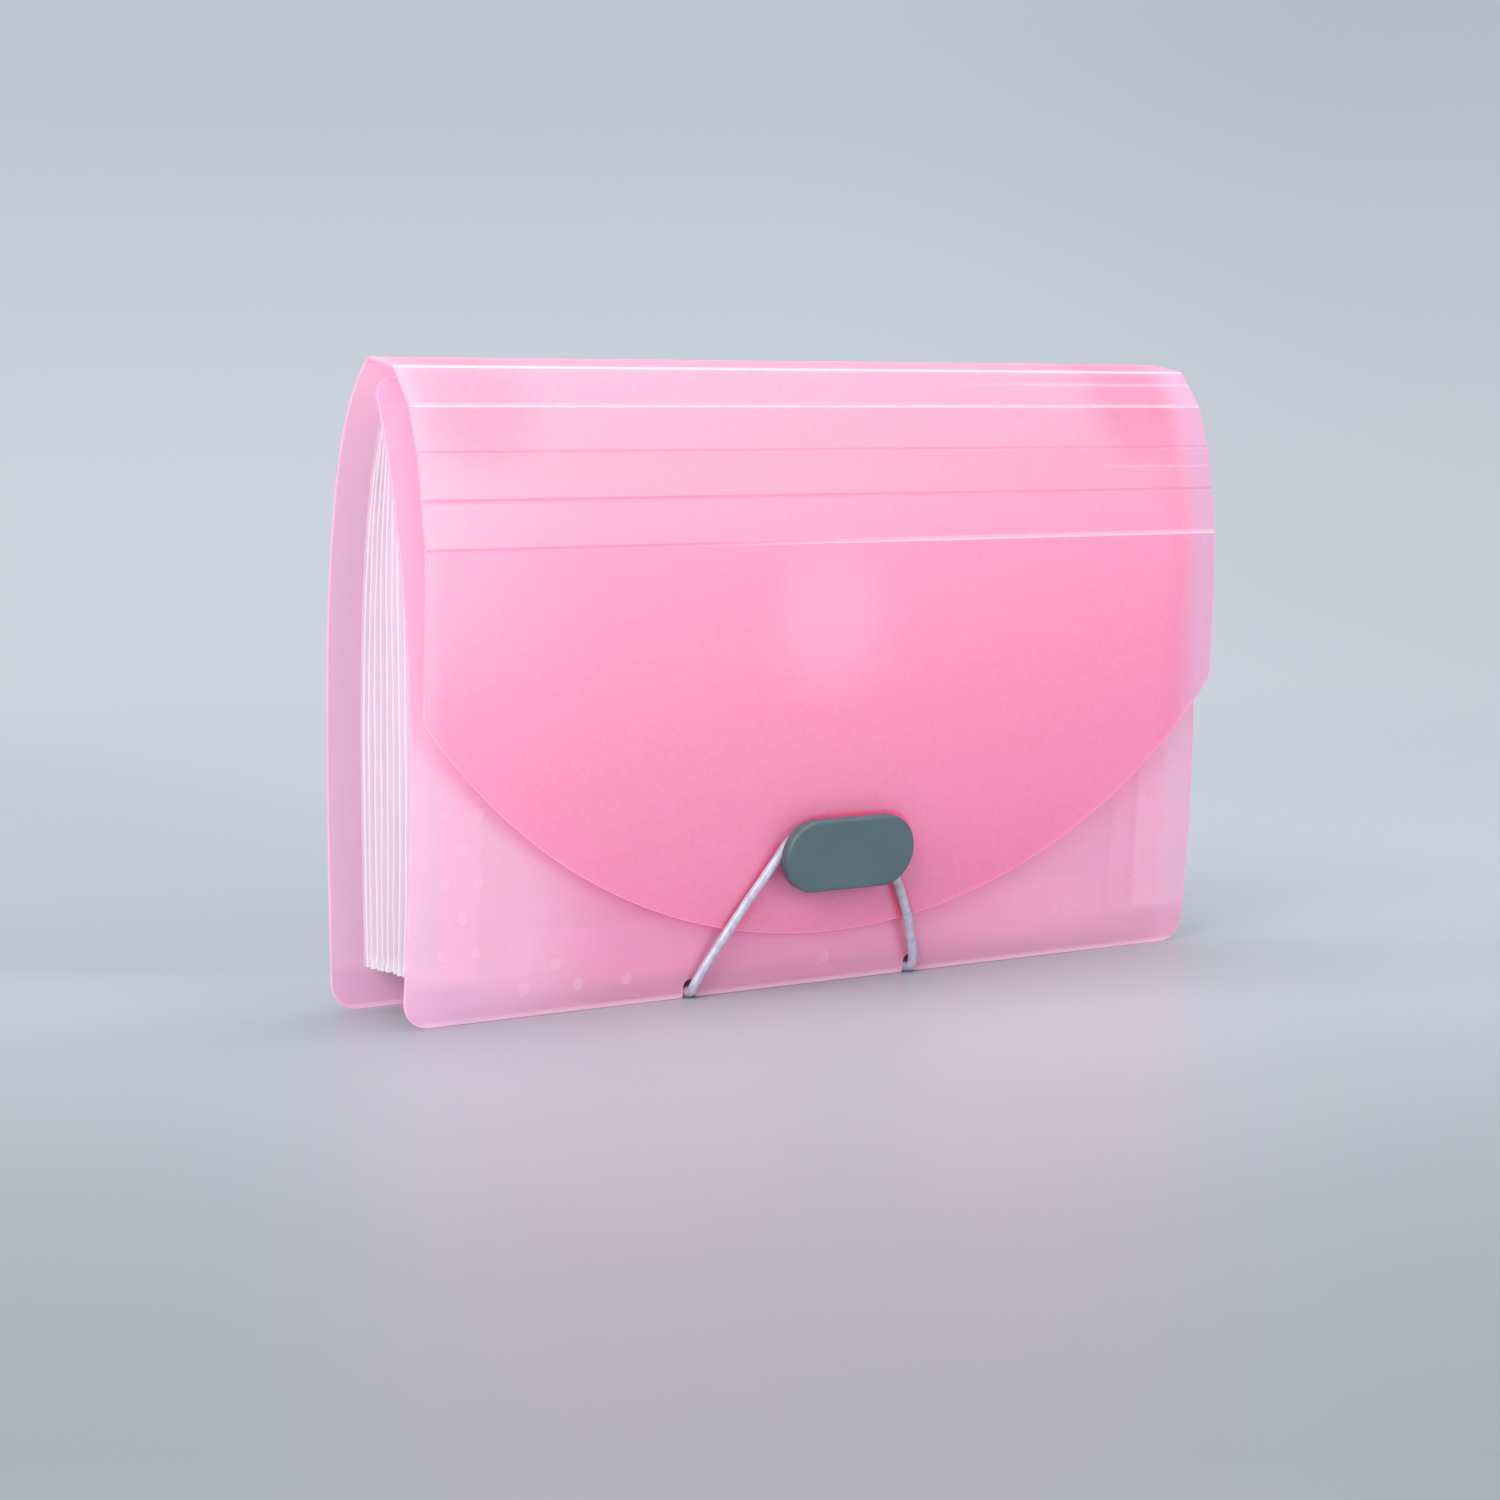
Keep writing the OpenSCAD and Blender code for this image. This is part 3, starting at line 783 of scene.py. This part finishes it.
crease_mats = [
    make_flap("score_white_1", 0.0, 1.0),
    make_flap("score_white_2", 0.0, 0.75),
    make_flap("score_faint_3", 0.15),
    make_flap("score_faint_4", 0.32),
    make_flap("score_half_5", 0.25, 0.75, split=True),
]


# covers
def arc(cx, cs, r, a0, a1, n):
    """n points on an arc about (cx, cs), both ends among them."""
    a = np.radians(np.linspace(a0, a1, n))
    return [(cx + r * math.cos(t), cs + r * math.sin(t)) for t in a]


# Distances along a cover's curve start at its bottom edge; LOW keeps the edge off the floor
LOW = 0.04


def cover_loop(top, r_low, r_top):
    y = LOW + r_low
    loop = arc(-HALF + r_low, y, r_low, 180, 270, 9) + arc(HALF - r_low, y, r_low, 270, 360, 9)
    if not r_top:
        return loop + [(HALF, top), (-HALF, top)]
    y = top - r_top
    return loop + arc(HALF - r_top, y, r_top, 0, 90, 7) + arc(-HALF + r_top, y, r_top, 90, 180, 7)


def with_notches(loop):
    """Cuts the two elastic notches into the bottom edge of a cover's outline."""
    out = []
    mouth = [(NOTCH_R + 0.35, 0.0), (NOTCH_R + 0.1, 0.1), (NOTCH_R, 0.4)]
    for k, p in enumerate(loop):
        out.append(p)
        q = loop[(k + 1) % len(loop)]
        if abs(p[1] - LOW) < 1e-6 and abs(q[1] - LOW) < 1e-6 and q[0] - p[0] > 50:
            for x in NOTCH_X:
                out += [(x - w, LOW + s) for w, s in mouth]
                out += arc(x, LOW + NOTCH_H - NOTCH_R, NOTCH_R, 180, 0, 9)
                out += [(x + w, LOW + s) for w, s in mouth[::-1]]
    return out


front_loop = with_notches(cover_loop(front_path.length, 5, 3))
hole_s = float(front_path.s_at_z(HOLE_Z))
hole = arc(0, hole_s, HOLE_R, 360, 0, 49)[:-1]
front_cover = sheet("front_cover_sheet", front_path, [front_loop, hole], [cover_mat, cover_edge])
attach(front_cover, "front_cover")
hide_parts("front_cover")

FOLD_REACH = 1.1
back_end = back_path.length - FOLD_REACH
back_cover = sheet(
    "back_cover_sheet", back_path, [cover_loop(back_end, 5, 0)], [back_mat, cover_edge],
    open_at=back_end,
)
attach(back_cover, "back_cover")
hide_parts("back_cover")


# flap
BEND_ROWS = 13


def bend(a, na, b, nb, c):
    """Middle line and normals of a rounded bend from a to b, with its corner at c."""
    t = np.linspace(0, 1, BEND_ROWS)[:, None]
    line = (1 - t) ** 2 * a + 2 * t * (1 - t) * c + t**2 * b
    n = (1 - t) * na + t * nb
    return line, n / np.linalg.norm(n, axis=1, keepdims=True)


def meeting(p, u, q, v):
    """Where the lines p + a u and q + b v cross."""
    a = np.linalg.solve(np.array([u, -v]).T, q - p)[0]
    return p + a * u


def out_normal(i):
    return -left_of(heading(PANEL_ANGLE[i]))


def share_of(obj):
    """How far each vertex of a bend lies from its first row to its last."""
    return np.repeat(np.linspace(0, 1, BEND_ROWS), len(obj.data.vertices) // BEND_ROWS)


# Top fold
pa, na = back_path.at(back_end)
pa, na = pa.reshape(2), na.reshape(2)
ua = left_of(na)
pb, nb = corner[0] + FOLD_REACH * heading(PANEL_ANGLE[0]), out_normal(0)
line, normals = bend(pa, na, pb, nb, meeting(pa, ua, pb, heading(PANEL_ANGLE[0])))
fold = band("top_fold", line, normals, [flap_mat, flap_edge])
hinge(fold, share_of(fold))

# Score lines: thinner sheet between the panels; REACH is how far each goes to either side
REACH = (0.34, 0.28, 0.4, 0.45, 0.4)
GROOVE = 0.16 * np.clip(1 - (np.linspace(-1, 1, BEND_ROWS) / 0.8) ** 2, 0, 1)
for i in range(1, 6):
    g = REACH[i - 1]
    ha, hb = heading(PANEL_ANGLE[i - 1]), heading(PANEL_ANGLE[i])
    c = corner[i]
    line, normals = bend(c - g * ha, out_normal(i - 1), c + g * hb, out_normal(i), c)
    line = line - normals * GROOVE[:, None] / 2
    piece = band(f"score_line_{i}", line, normals, [crease_mats[i - 1], flap_edge], SHEET - GROOVE)
    hinge(piece, share_of(piece))

for i in range(1, 6):
    start = FOLD_REACH if i == 1 else REACH[i - 2]
    length = TOP_PANEL if i == 1 else PITCH
    h = heading(PANEL_ANGLE[i - 1])
    ts = np.linspace(start, length - REACH[i - 1], 4)
    line = np.array([corner[i - 1] + t * h for t in ts])
    panel = band(f"flap_panel_{i}", line, np.repeat([out_normal(i - 1)], 4, axis=0), [flap_mat, flap_edge])
    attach(panel, f"flap_strip_{i}")
    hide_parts(f"flap_strip_{i}")

# Tongue: its outline is drawn by height, then laid along the bow
arc_z, ease = TIP_Z + TONGUE_ARC, 4.0
ease_x = HALF - ease
ease_z = arc_z - math.sqrt((TONGUE_ARC - ease) ** 2 - ease_x**2)
turn = math.degrees(math.atan2(ease_z - arc_z, ease_x))
low = arc(0, arc_z, TONGUE_ARC, -180 - turn, turn, 81)
right = arc(ease_x, ease_z, ease, turn, 0, 8)[1:]
left = arc(-ease_x, ease_z, ease, 180, 180 - turn, 8)[:-1]
outline = left + low + right
s_top = REACH[4]
loop = [(x, float(tongue_path.s_at_z(z))) for x, z in outline]
loop += [(HALF, s_top), (-HALF, s_top)]
loop = [(x, -s) for x, s in loop]


class Down:
    """The tongue's path read upwards, so that its outline runs anticlockwise."""

    @staticmethod
    def at(s):
        return tongue_path.at(-np.asarray(s, float))


tongue = sheet("flap_tongue_sheet", Down, [loop], [flap_mat, tongue_edge], open_at=-s_top)
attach(tongue, "flap_tongue")
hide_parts("flap_tongue")


# dividers and gusset
for i in range(1, POCKETS):
    zs = np.linspace(DIV_LOW, DIV_TOP, 120)
    pts = np.stack([divider_y(i, zs), zs], -1)
    path = Path(pts, left_of(np.gradient(pts, axis=0)))
    r, y = 3.0, path.length - 3.0
    cut = [(0.0, 3.8), (4.0, 3.2), (9.0, 0.0)]
    loop = [(x - HALF_DIV, s) for x, s in cut] + [(HALF_DIV - x, s) for x, s in cut[::-1]]
    loop += arc(HALF_DIV - r, y, r, 0, 90, 6) + arc(-HALF_DIV + r, y, r, 90, 180, 6)
    d = sheet(f"divider_sheet_{i}", path, [loop], [divider_mat], thick=DIV_T, rim=0.05, grid=(6.0, 5.0))
    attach(d, f"divider_{i}")
    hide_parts(f"divider_{i}")

pleat_z = np.concatenate([np.linspace(FILM_LOW, 12, 9), np.linspace(13.5, DIV_TOP, 46)])


def unsmoothed(weights):
    return 0.5 - np.sin(np.arcsin(np.clip(1 - 2 * np.array(weights), -1, 1)) / 3)


def lip_x(i, side, z):
    """The fold round a divider's edge wanders a little, and crumples at its lower end."""
    z = np.asarray(z, float)
    calm = 0.12 * wave(31 * i + (7 if side > 0 else 3), z / 9.0)
    low = np.clip((12 - z) / 4.5, 0, 1)
    return HALF_DIV + 0.22 + calm + low * 0.4 * wave(57 * i + (5 if side > 0 else 2), z * 2.1)


def pleat(i):
    verts, weights, faces = [], [], []
    nz = len(pleat_z)
    for side in (-1, 1):
        base = len(verts)
        end = 0.55 * wave(91 + (1 if side > 0 else 0), i * 1.9)
        for k, z in enumerate(pleat_z):
            zz = z + (1 - min(1, k / 6)) * 0.5 * end
            rear_mid = divider_y(i - 1, z) if i > 1 else back_face(z)
            front_mid = divider_y(i, z) if i < POCKETS else front_face(z)
            gap = (rear_mid - front_mid) / 2
            skin = min(0.16, gap * 0.5)
            mid = (rear_mid + front_mid) / 2
            rx = lip_x(i - 1, side, z) if i > 1 else HALF_DIV
            fx = lip_x(i, side, z) if i < POCKETS else HALF_DIV
            row = [
                (rx, rear_mid, 0.0),
                (rx - 0.05, rear_mid - skin * 0.7, 0.0),
                (rx - 0.25, rear_mid - skin, 0.0),
                (rx - DEPTH * 0.5, rear_mid - skin - (gap - skin) * 0.35, 0.18),
                (HALF_DIV - DEPTH + 0.25, mid + (gap - skin) * 0.2, 0.45),
                (HALF_DIV - DEPTH, mid, 0.5),
                (HALF_DIV - DEPTH + 0.25, mid - (gap - skin) * 0.2, 0.55),
                (fx - DEPTH * 0.5, front_mid + skin + (gap - skin) * 0.35, 0.82),
                (fx - 0.25, front_mid + skin, 1.0),
                (fx - 0.05, front_mid + skin * 0.7, 1.0),
                (fx, front_mid, 1.0),
            ]
            for x, y, w in row:
                verts.append((side * x, y, zz))
                weights.append(w)
        n = len(row)
        faces += shifted(ring_faces(nz, n, closed=False, flip=side < 0), base)
    obj = add_piece(f"gusset_film_{i}", verts, faces, [film_mat])
    hinge(obj, unsmoothed(weights))
    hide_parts(f"gusset_pleat_{i}")


for i in range(1, POCKETS + 1):
    pleat(i)


def pocket_base(i):
    """A V of film along the bottom of a pocket, welded to both walls."""
    rows = [(15.0, 0.0), (9.0, 0.0), (5.0, 0.12), (DIV_LOW + 0.15, 0.5), (5.0, 0.88), (9.0, 1.0), (15.0, 1.0)]
    half = HALF_DIV - DEPTH - 2
    xs = np.linspace(-half, half, 15)
    verts, weights = [], []
    for z, w in rows:
        rear = divider_y(i - 1, z) - (0.14 if i > 1 else 0)
        front = divider_y(i, z) + (0.14 if i < POCKETS else 0)
        y = rear + (front - rear) * (w if 0 < w < 1 else round(w))
        for x in xs:
            verts.append((x, y, z))
            weights.append(w)
    faces = ring_faces(len(rows), len(xs), closed=False)
    obj = add_piece(f"pocket_base_{i}_film", verts, faces, [film_mat])
    hinge(obj, unsmoothed(weights))
    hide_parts(f"pocket_base_{i}")


for i in range(1, POCKETS + 1):
    pocket_base(i)


# Flanges: the gusset's outer folds lie flat on the insides of the covers
def flange(name, body, path, side):
    x0, x1 = sorted(side * x for x in FLANGE_X)
    s0, s1 = float(path.s_at_z(7.4)), float(path.s_at_z(105))
    loop = [(x0, s0), (x1, s0), (x1, s1), (x0, s1)]
    inner = Path(path.p - path.n * (SHEET / 2 + 0.08), path.n)
    obj = sheet(name, inner, [loop], [flange_mat], thick=0.08, rim=0.03, grid=(3.4, 5.0))
    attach(obj, body)


k_top = int(np.argmax(back_path.p[:, 1]))
back_low = Path(back_path.p[: k_top + 1], back_path.n[: k_top + 1])
for side in (-1, 1):
    tag = "left" if side < 0 else "right"
    flange(f"front_flange_{tag}", "front_cover", front_path, side)
    flange(f"back_flange_{tag}", "back_cover", back_low, side)


# Spot welds that hold the flanges and the lowest film to the front cover
def weld_places():
    spots = []
    for side in (-1, 1):
        for k in range(8):
            z = 12.5 + 12.0 * k
            spots += [(-82.0 if side < 0 else 81.6, z), (side * 75.3, z)]
            if z + 6 < 100:
                spots.append((side * 78.5, z + 6))
    spots += [(x, 4.9) for x in (-65.2, -54.0, -43.7, 0.0, 48.9, 61.4)]
    spots += [(x, 8.9) for x in (-59.0, 55.1)]
    spots += [(x, 13.2) for x in (49.4, 61.9, 74.8)]
    return spots


def welds():
    """Low rings; section is [radius, height over the cover]."""
    section = [(1.1, 0.0), (1.0, 0.012), (0.9, 0.016), (0.78, 0.01), (0.66, 0.004), (0.4, 0.003)]
    verts, faces = [], []
    turns = 24
    for x, z in weld_places():
        s = float(front_path.s_at_z(z))
        base = len(verts)
        for r, h in section:
            for k in range(turns):
                a = 2 * math.pi * k / turns
                p, n = front_path.at(s + r * math.sin(a))
                q = p + n * (SHEET / 2 + h + 0.003)
                verts.append((x + r * math.cos(a), q[0], q[1]))
        p, n = front_path.at(s)
        q = p + n * (SHEET / 2 + 0.006)
        verts.append((x, q[0], q[1]))
        faces += shifted(ring_faces(len(section), turns), base)
        last = base + (len(section) - 1) * turns
        for k in range(turns):
            faces.append((last + k, last + (k + 1) % turns, len(verts) - 1))
    obj = add_piece("spot_welds", verts, faces, [weld_mat])
    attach(obj, "front_cover")


welds()


# button
def stadium(l, h, n=24):
    r = h / 2
    pts = arc((l - h) / 2, 0, r, -90, 90, n) + arc(-(l - h) / 2, 0, r, 90, 270, n)
    return np.array(pts)


def button():
    a = math.degrees(math.asin((corner[5][1] - BUTTON_Z) / BOW_R))
    centre = bow_at(a)
    tilt = math.radians(TONGUE_HEADING - 90 + a)
    back = SHEET / 2 + BUTTON_GAP
    front = back + BUTTON_T

    def rim(r, t):
        t = math.radians(t)
        return r * (1 - math.sin(t)), r * (1 - math.cos(t))

    def rows():
        """The head's rings from its back to its front: how far in, and how high."""
        yield 4.0, back - 0.3
        yield 1.2, back
        yield 0.35, back
        for t in (30, 60, 90):
            off, up = rim(0.35, t)
            yield off, back + up
        for t in (90, 65, 40, 20, 0):
            off, up = rim(0.5, t)
            yield off, front - up - 0.02
        yield 0.75, front - 0.005
        yield 1.6, front
        yield 3.4, front
        yield 5.4, front

    verts = []
    n = 0
    for off, h in rows():
        ring = stadium(BUTTON_L - 2 * off, BUTTON_H - 2 * off)
        n = len(ring)
        verts += [(x, y, h) for x, y in ring]
    count = len(verts) // n
    faces = ring_faces(count, n)
    faces.append(tuple(range((count - 1) * n, count * n)))
    faces.append(tuple(range(n - 1, -1, -1)))
    # the neck through the flap
    base = len(verts)
    for h in (-0.96, 0.2, 1.4, back + 0.1):
        verts += [(x, y, h) for x, y in stadium(18, 5)]
    faces += shifted(ring_faces(4, n), base)
    x, up, out = np.array(verts).T
    y = centre[0] - math.cos(tilt) * out - math.sin(tilt) * up
    z = centre[1] - math.sin(tilt) * out + math.cos(tilt) * up
    obj = add_mesh("pill_button", to_frame(x, y, z), faces, [button_mat])
    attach(obj, "flap_tongue")
    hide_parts("button")


button()


# elastic: behind the cover, through the left notch, round the button and back
ROUTE = np.array([
    (12, -10.9, 1.7), (3, -10.9, 1.8), (-6, -10.9, 1.8), (-15, -10.9, 1.7), (-22, -10.9, 1.4),
    (-27.4, -10.9, 1.15), (-29.2, -11.2, 1.05), (-30, -12, 1.0), (-30, -13.3, 1.35),
    (-29.9, -14.0, 2.5), (-28.6, -14.5, 4.8), (-26.5, -15.25, 8.2), (-24, -16.15, 12.0),
    (-20.9, -16.95, 16.4), (-17.3, -17.65, 21.0), (-14.2, -18.2, 25.0), (-12.2, -18.5, 27.4),
    (-9.6, -18.7, 28.7), (-5, -18.75, 29), (0, -18.75, 29), (5, -18.75, 29), (9, -18.65, 28.5),
    (11, -18.4, 26.6), (11.8, -17.95, 23.6), (12.6, -17.5, 20.2), (14.6, -16.9, 16.4),
    (16.6, -16.2, 12.2), (18.3, -15.2, 8.0), (19.5, -14.5, 4.6), (19.9, -14.0, 2.5),
    (20, -13.3, 1.35), (20, -12, 1.0), (19.2, -11.2, 1.05), (17.4, -10.9, 1.25),
], float)


def smooth_route(points, step):
    """A closed centripetal curve through the points, at even steps."""
    n = len(points)
    dense = []
    for k in range(n):
        p0, p1, p2, p3 = points[k - 1], points[k], points[(k + 1) % n], points[(k + 2) % n]
        t0 = 0.0
        t1 = t0 + np.linalg.norm(p1 - p0) ** 0.5
        t2 = t1 + np.linalg.norm(p2 - p1) ** 0.5
        t3 = t2 + np.linalg.norm(p3 - p2) ** 0.5
        for t in np.linspace(t1, t2, 24, endpoint=False):
            a1 = (t1 - t) / (t1 - t0) * p0 + (t - t0) / (t1 - t0) * p1
            a2 = (t2 - t) / (t2 - t1) * p1 + (t - t1) / (t2 - t1) * p2
            a3 = (t3 - t) / (t3 - t2) * p2 + (t - t2) / (t3 - t2) * p3
            b1 = (t2 - t) / (t2 - t0) * a1 + (t - t0) / (t2 - t0) * a2
            b2 = (t3 - t) / (t3 - t1) * a2 + (t - t1) / (t3 - t1) * a3
            dense.append((t2 - t) / (t2 - t1) * b1 + (t - t1) / (t2 - t1) * b2)
    dense = np.array(dense + [dense[0]])
    d = np.concatenate([[0], np.cumsum(np.linalg.norm(np.diff(dense, axis=0), axis=1))])
    count = int(d[-1] / step)
    s = np.linspace(0, d[-1], count, endpoint=False)
    return np.stack([np.interp(s, d, dense[:, k]) for k in range(3)], -1), d[-1], s


def elastic():
    """A braided cord: strands cross over and under in the tube's own surface."""
    line, length, s = smooth_route(ROUTE, 0.12)
    n = len(line)
    tangent = np.roll(line, -1, axis=0) - np.roll(line, 1, axis=0)
    tangent /= np.linalg.norm(tangent, axis=1, keepdims=True)
    side = np.zeros_like(line)
    ref = np.array([0.61, 0.61, -0.51])
    for k in range(n):
        v = np.cross(tangent[k], ref)
        side[k] = v / np.linalg.norm(v)
    up = np.cross(side, tangent)
    around = 32
    a = 2 * np.pi * np.arange(around) / around
    turns = round(length / LAY)
    A, U = np.meshgrid(a, 2 * np.pi * turns * s / length)
    one = np.maximum(np.cos(STRANDS * A + U), 0)
    two = np.maximum(np.cos(STRANDS * A - U), 0)
    over = np.sin(STRANDS * A) * np.sin(U)
    height = np.where(over > 0, one * 0.7 + 0.3 * two, two * 0.7 + 0.3 * one)
    out = np.cos(A)[..., None] * side[:, None, :] + np.sin(A)[..., None] * up[:, None, :]
    ring = line[:, None, :] + (CORD_R + BRAID * height)[..., None] * out
    faces = []
    for k in range(n):
        k2 = (k + 1) % n
        for j in range(around):
            j2 = (j + 1) % around
            faces.append((k * around + j, k * around + j2, k2 * around + j2, k2 * around + j))
    obj = add_piece("elastic_cord_loop", ring.reshape(-1, 3), faces, [cord_mat])
    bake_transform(obj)
    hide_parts("elastic_loop")


elastic()

# CAD nodes that keep their own shape
for name, material in (("elastic_crimp", metal_mat), ("button_backing", button_mat)):
    node = frame["nodes"][name]
    if not node.material_slots:
        node.data.materials.append(material)
    for slot in node.material_slots:
        slot.material = material


# stage and light
FLAT_R, SWEEP_R, WALL_TOP, STAGE_TURNS = 1.4, 1.2, 2.2, 96


def stage():
    """A floor that sweeps up far away on all sides, so that no view looks at its back."""
    n = Nodes("floor")
    mottle = n.noise(3, 2.0, 0.5)
    tone = n.mix(mottle, (0.5, 0.55, 0.59), (0.52, 0.57, 0.61))
    lit = n.principled(tone, 0.6, spec=0.2)
    # painted shade: the table darkens towards its front; it also lightens behind a line just behind the
    # wallet
    depth = n.plus(n.times(n.x, 0.588), n.times(n.y, 0.809))
    aside = n.minus(n.times(n.x, 0.809), n.times(n.y, 0.588))
    gain = n.ramp(depth, -0.3, -0.03, 0.63, 1.28, "LINEAR")
    behind = n.plus(n.y, n.times(n.x, 0.5))
    rear = n.times(n.ramp(behind, 0.0, 0.2, 1.17, 1.32), n.ramp(n.x, 0.0, 0.12, 1.0, 1.17))
    gain = n.ramp(n.ramp(behind, 0.01, 0.045), 0.0, 1.0, gain, rear, "LINEAR")
    glow = n.ramp(n.math("ABSOLUTE", aside), 0.02, 0.11, 1.0, 0.0)
    glow = n.times(glow, n.ramp(behind, -0.06, 0.0, 1.0, 0.0))
    color = n.mix(glow, (0.238, 0.258, 0.288), (0.264, 0.278, 0.316))
    color = n.mix(1.0, color, n.gray(gain), "MULTIPLY")
    near = n.principled(color, 0.4, spec=0.4)
    far = n.add("ShaderNodeEmission")
    # painted light: the far stage glows on its own, paler low down and a little darker to one side
    sky = n.mix(n.ramp(n.z, 0.0, 0.45), (0.6, 0.655, 0.735), (0.5, 0.56, 0.64))
    sky = n.mix(1.0, sky, n.gray(n.ramp(aside, 0.0, 0.5, 1.0, 0.92)), "MULTIPLY")
    n.link(sky, far.inputs["Color"])
    seen = n.blend_shaders(n.ramp(n.length_of(n.x, n.y), 0.1, 0.75), near, far.outputs[0])
    ray = n.add("ShaderNodeLightPath")
    mirrored = n.math("MAXIMUM", ray.outputs["Is Glossy Ray"], ray.outputs["Is Transmission Ray"])
    n.finish(n.blend_shaders(n.math("MAXIMUM", ray.outputs["Is Camera Ray"], mirrored), lit, seen))
    prof = [(0.6, 0.0), (FLAT_R, 0.0)]
    for k in range(1, 17):
        t = math.radians(90 * k / 16)
        prof.append((FLAT_R + SWEEP_R * math.sin(t), SWEEP_R - SWEEP_R * math.cos(t)))
    prof.append((FLAT_R + SWEEP_R, WALL_TOP))
    angles = [2 * math.pi * k / STAGE_TURNS for k in range(STAGE_TURNS)]
    verts = [(r * math.cos(a), r * math.sin(a), z) for r, z in prof for a in angles]
    faces = ring_faces(len(prof), STAGE_TURNS, flip=True) + [tuple(range(STAGE_TURNS))]
    add_mesh("floor", verts, faces, [n.mat])


def area(name, place, target, size, power):
    data = bpy.data.lights.new(name, "AREA")
    data.shape = "RECTANGLE"
    data.size, data.size_y = size
    data.energy = power
    lamp = bpy.data.objects.new(name, data)
    bpy.context.scene.collection.objects.link(lamp)
    lamp.visible_camera = False
    lamp.location = place
    lamp.rotation_euler = (Vector(target) - Vector(place)).to_track_quat("-Z", "Y").to_euler()


def lights():
    area("key_left", (-1.1, -0.6, 0.8), (0, 0, 0.06), (0.9, 0.9), 19)
    area("top_soft", (0.1, 0.1, 1.25), (0, 0, 0), (1.3, 1.0), 16.5)
    area("front_fill", (0.5, -1.5, 0.5), (0, 0, 0.05), (1.0, 0.8), 8)
    world = bpy.data.worlds.new("studio")
    bpy.context.scene.world = world
    world.use_nodes = True
    background = world.node_tree.nodes["Background"]
    background.inputs["Color"].default_value = (0.93, 0.95, 0.98, 1)
    background.inputs["Strength"].default_value = 0.7


stage()
lights()
scene = bpy.context.scene
scene.view_settings.view_transform = "Standard"
scene.cycles.transparent_max_bounces = 24
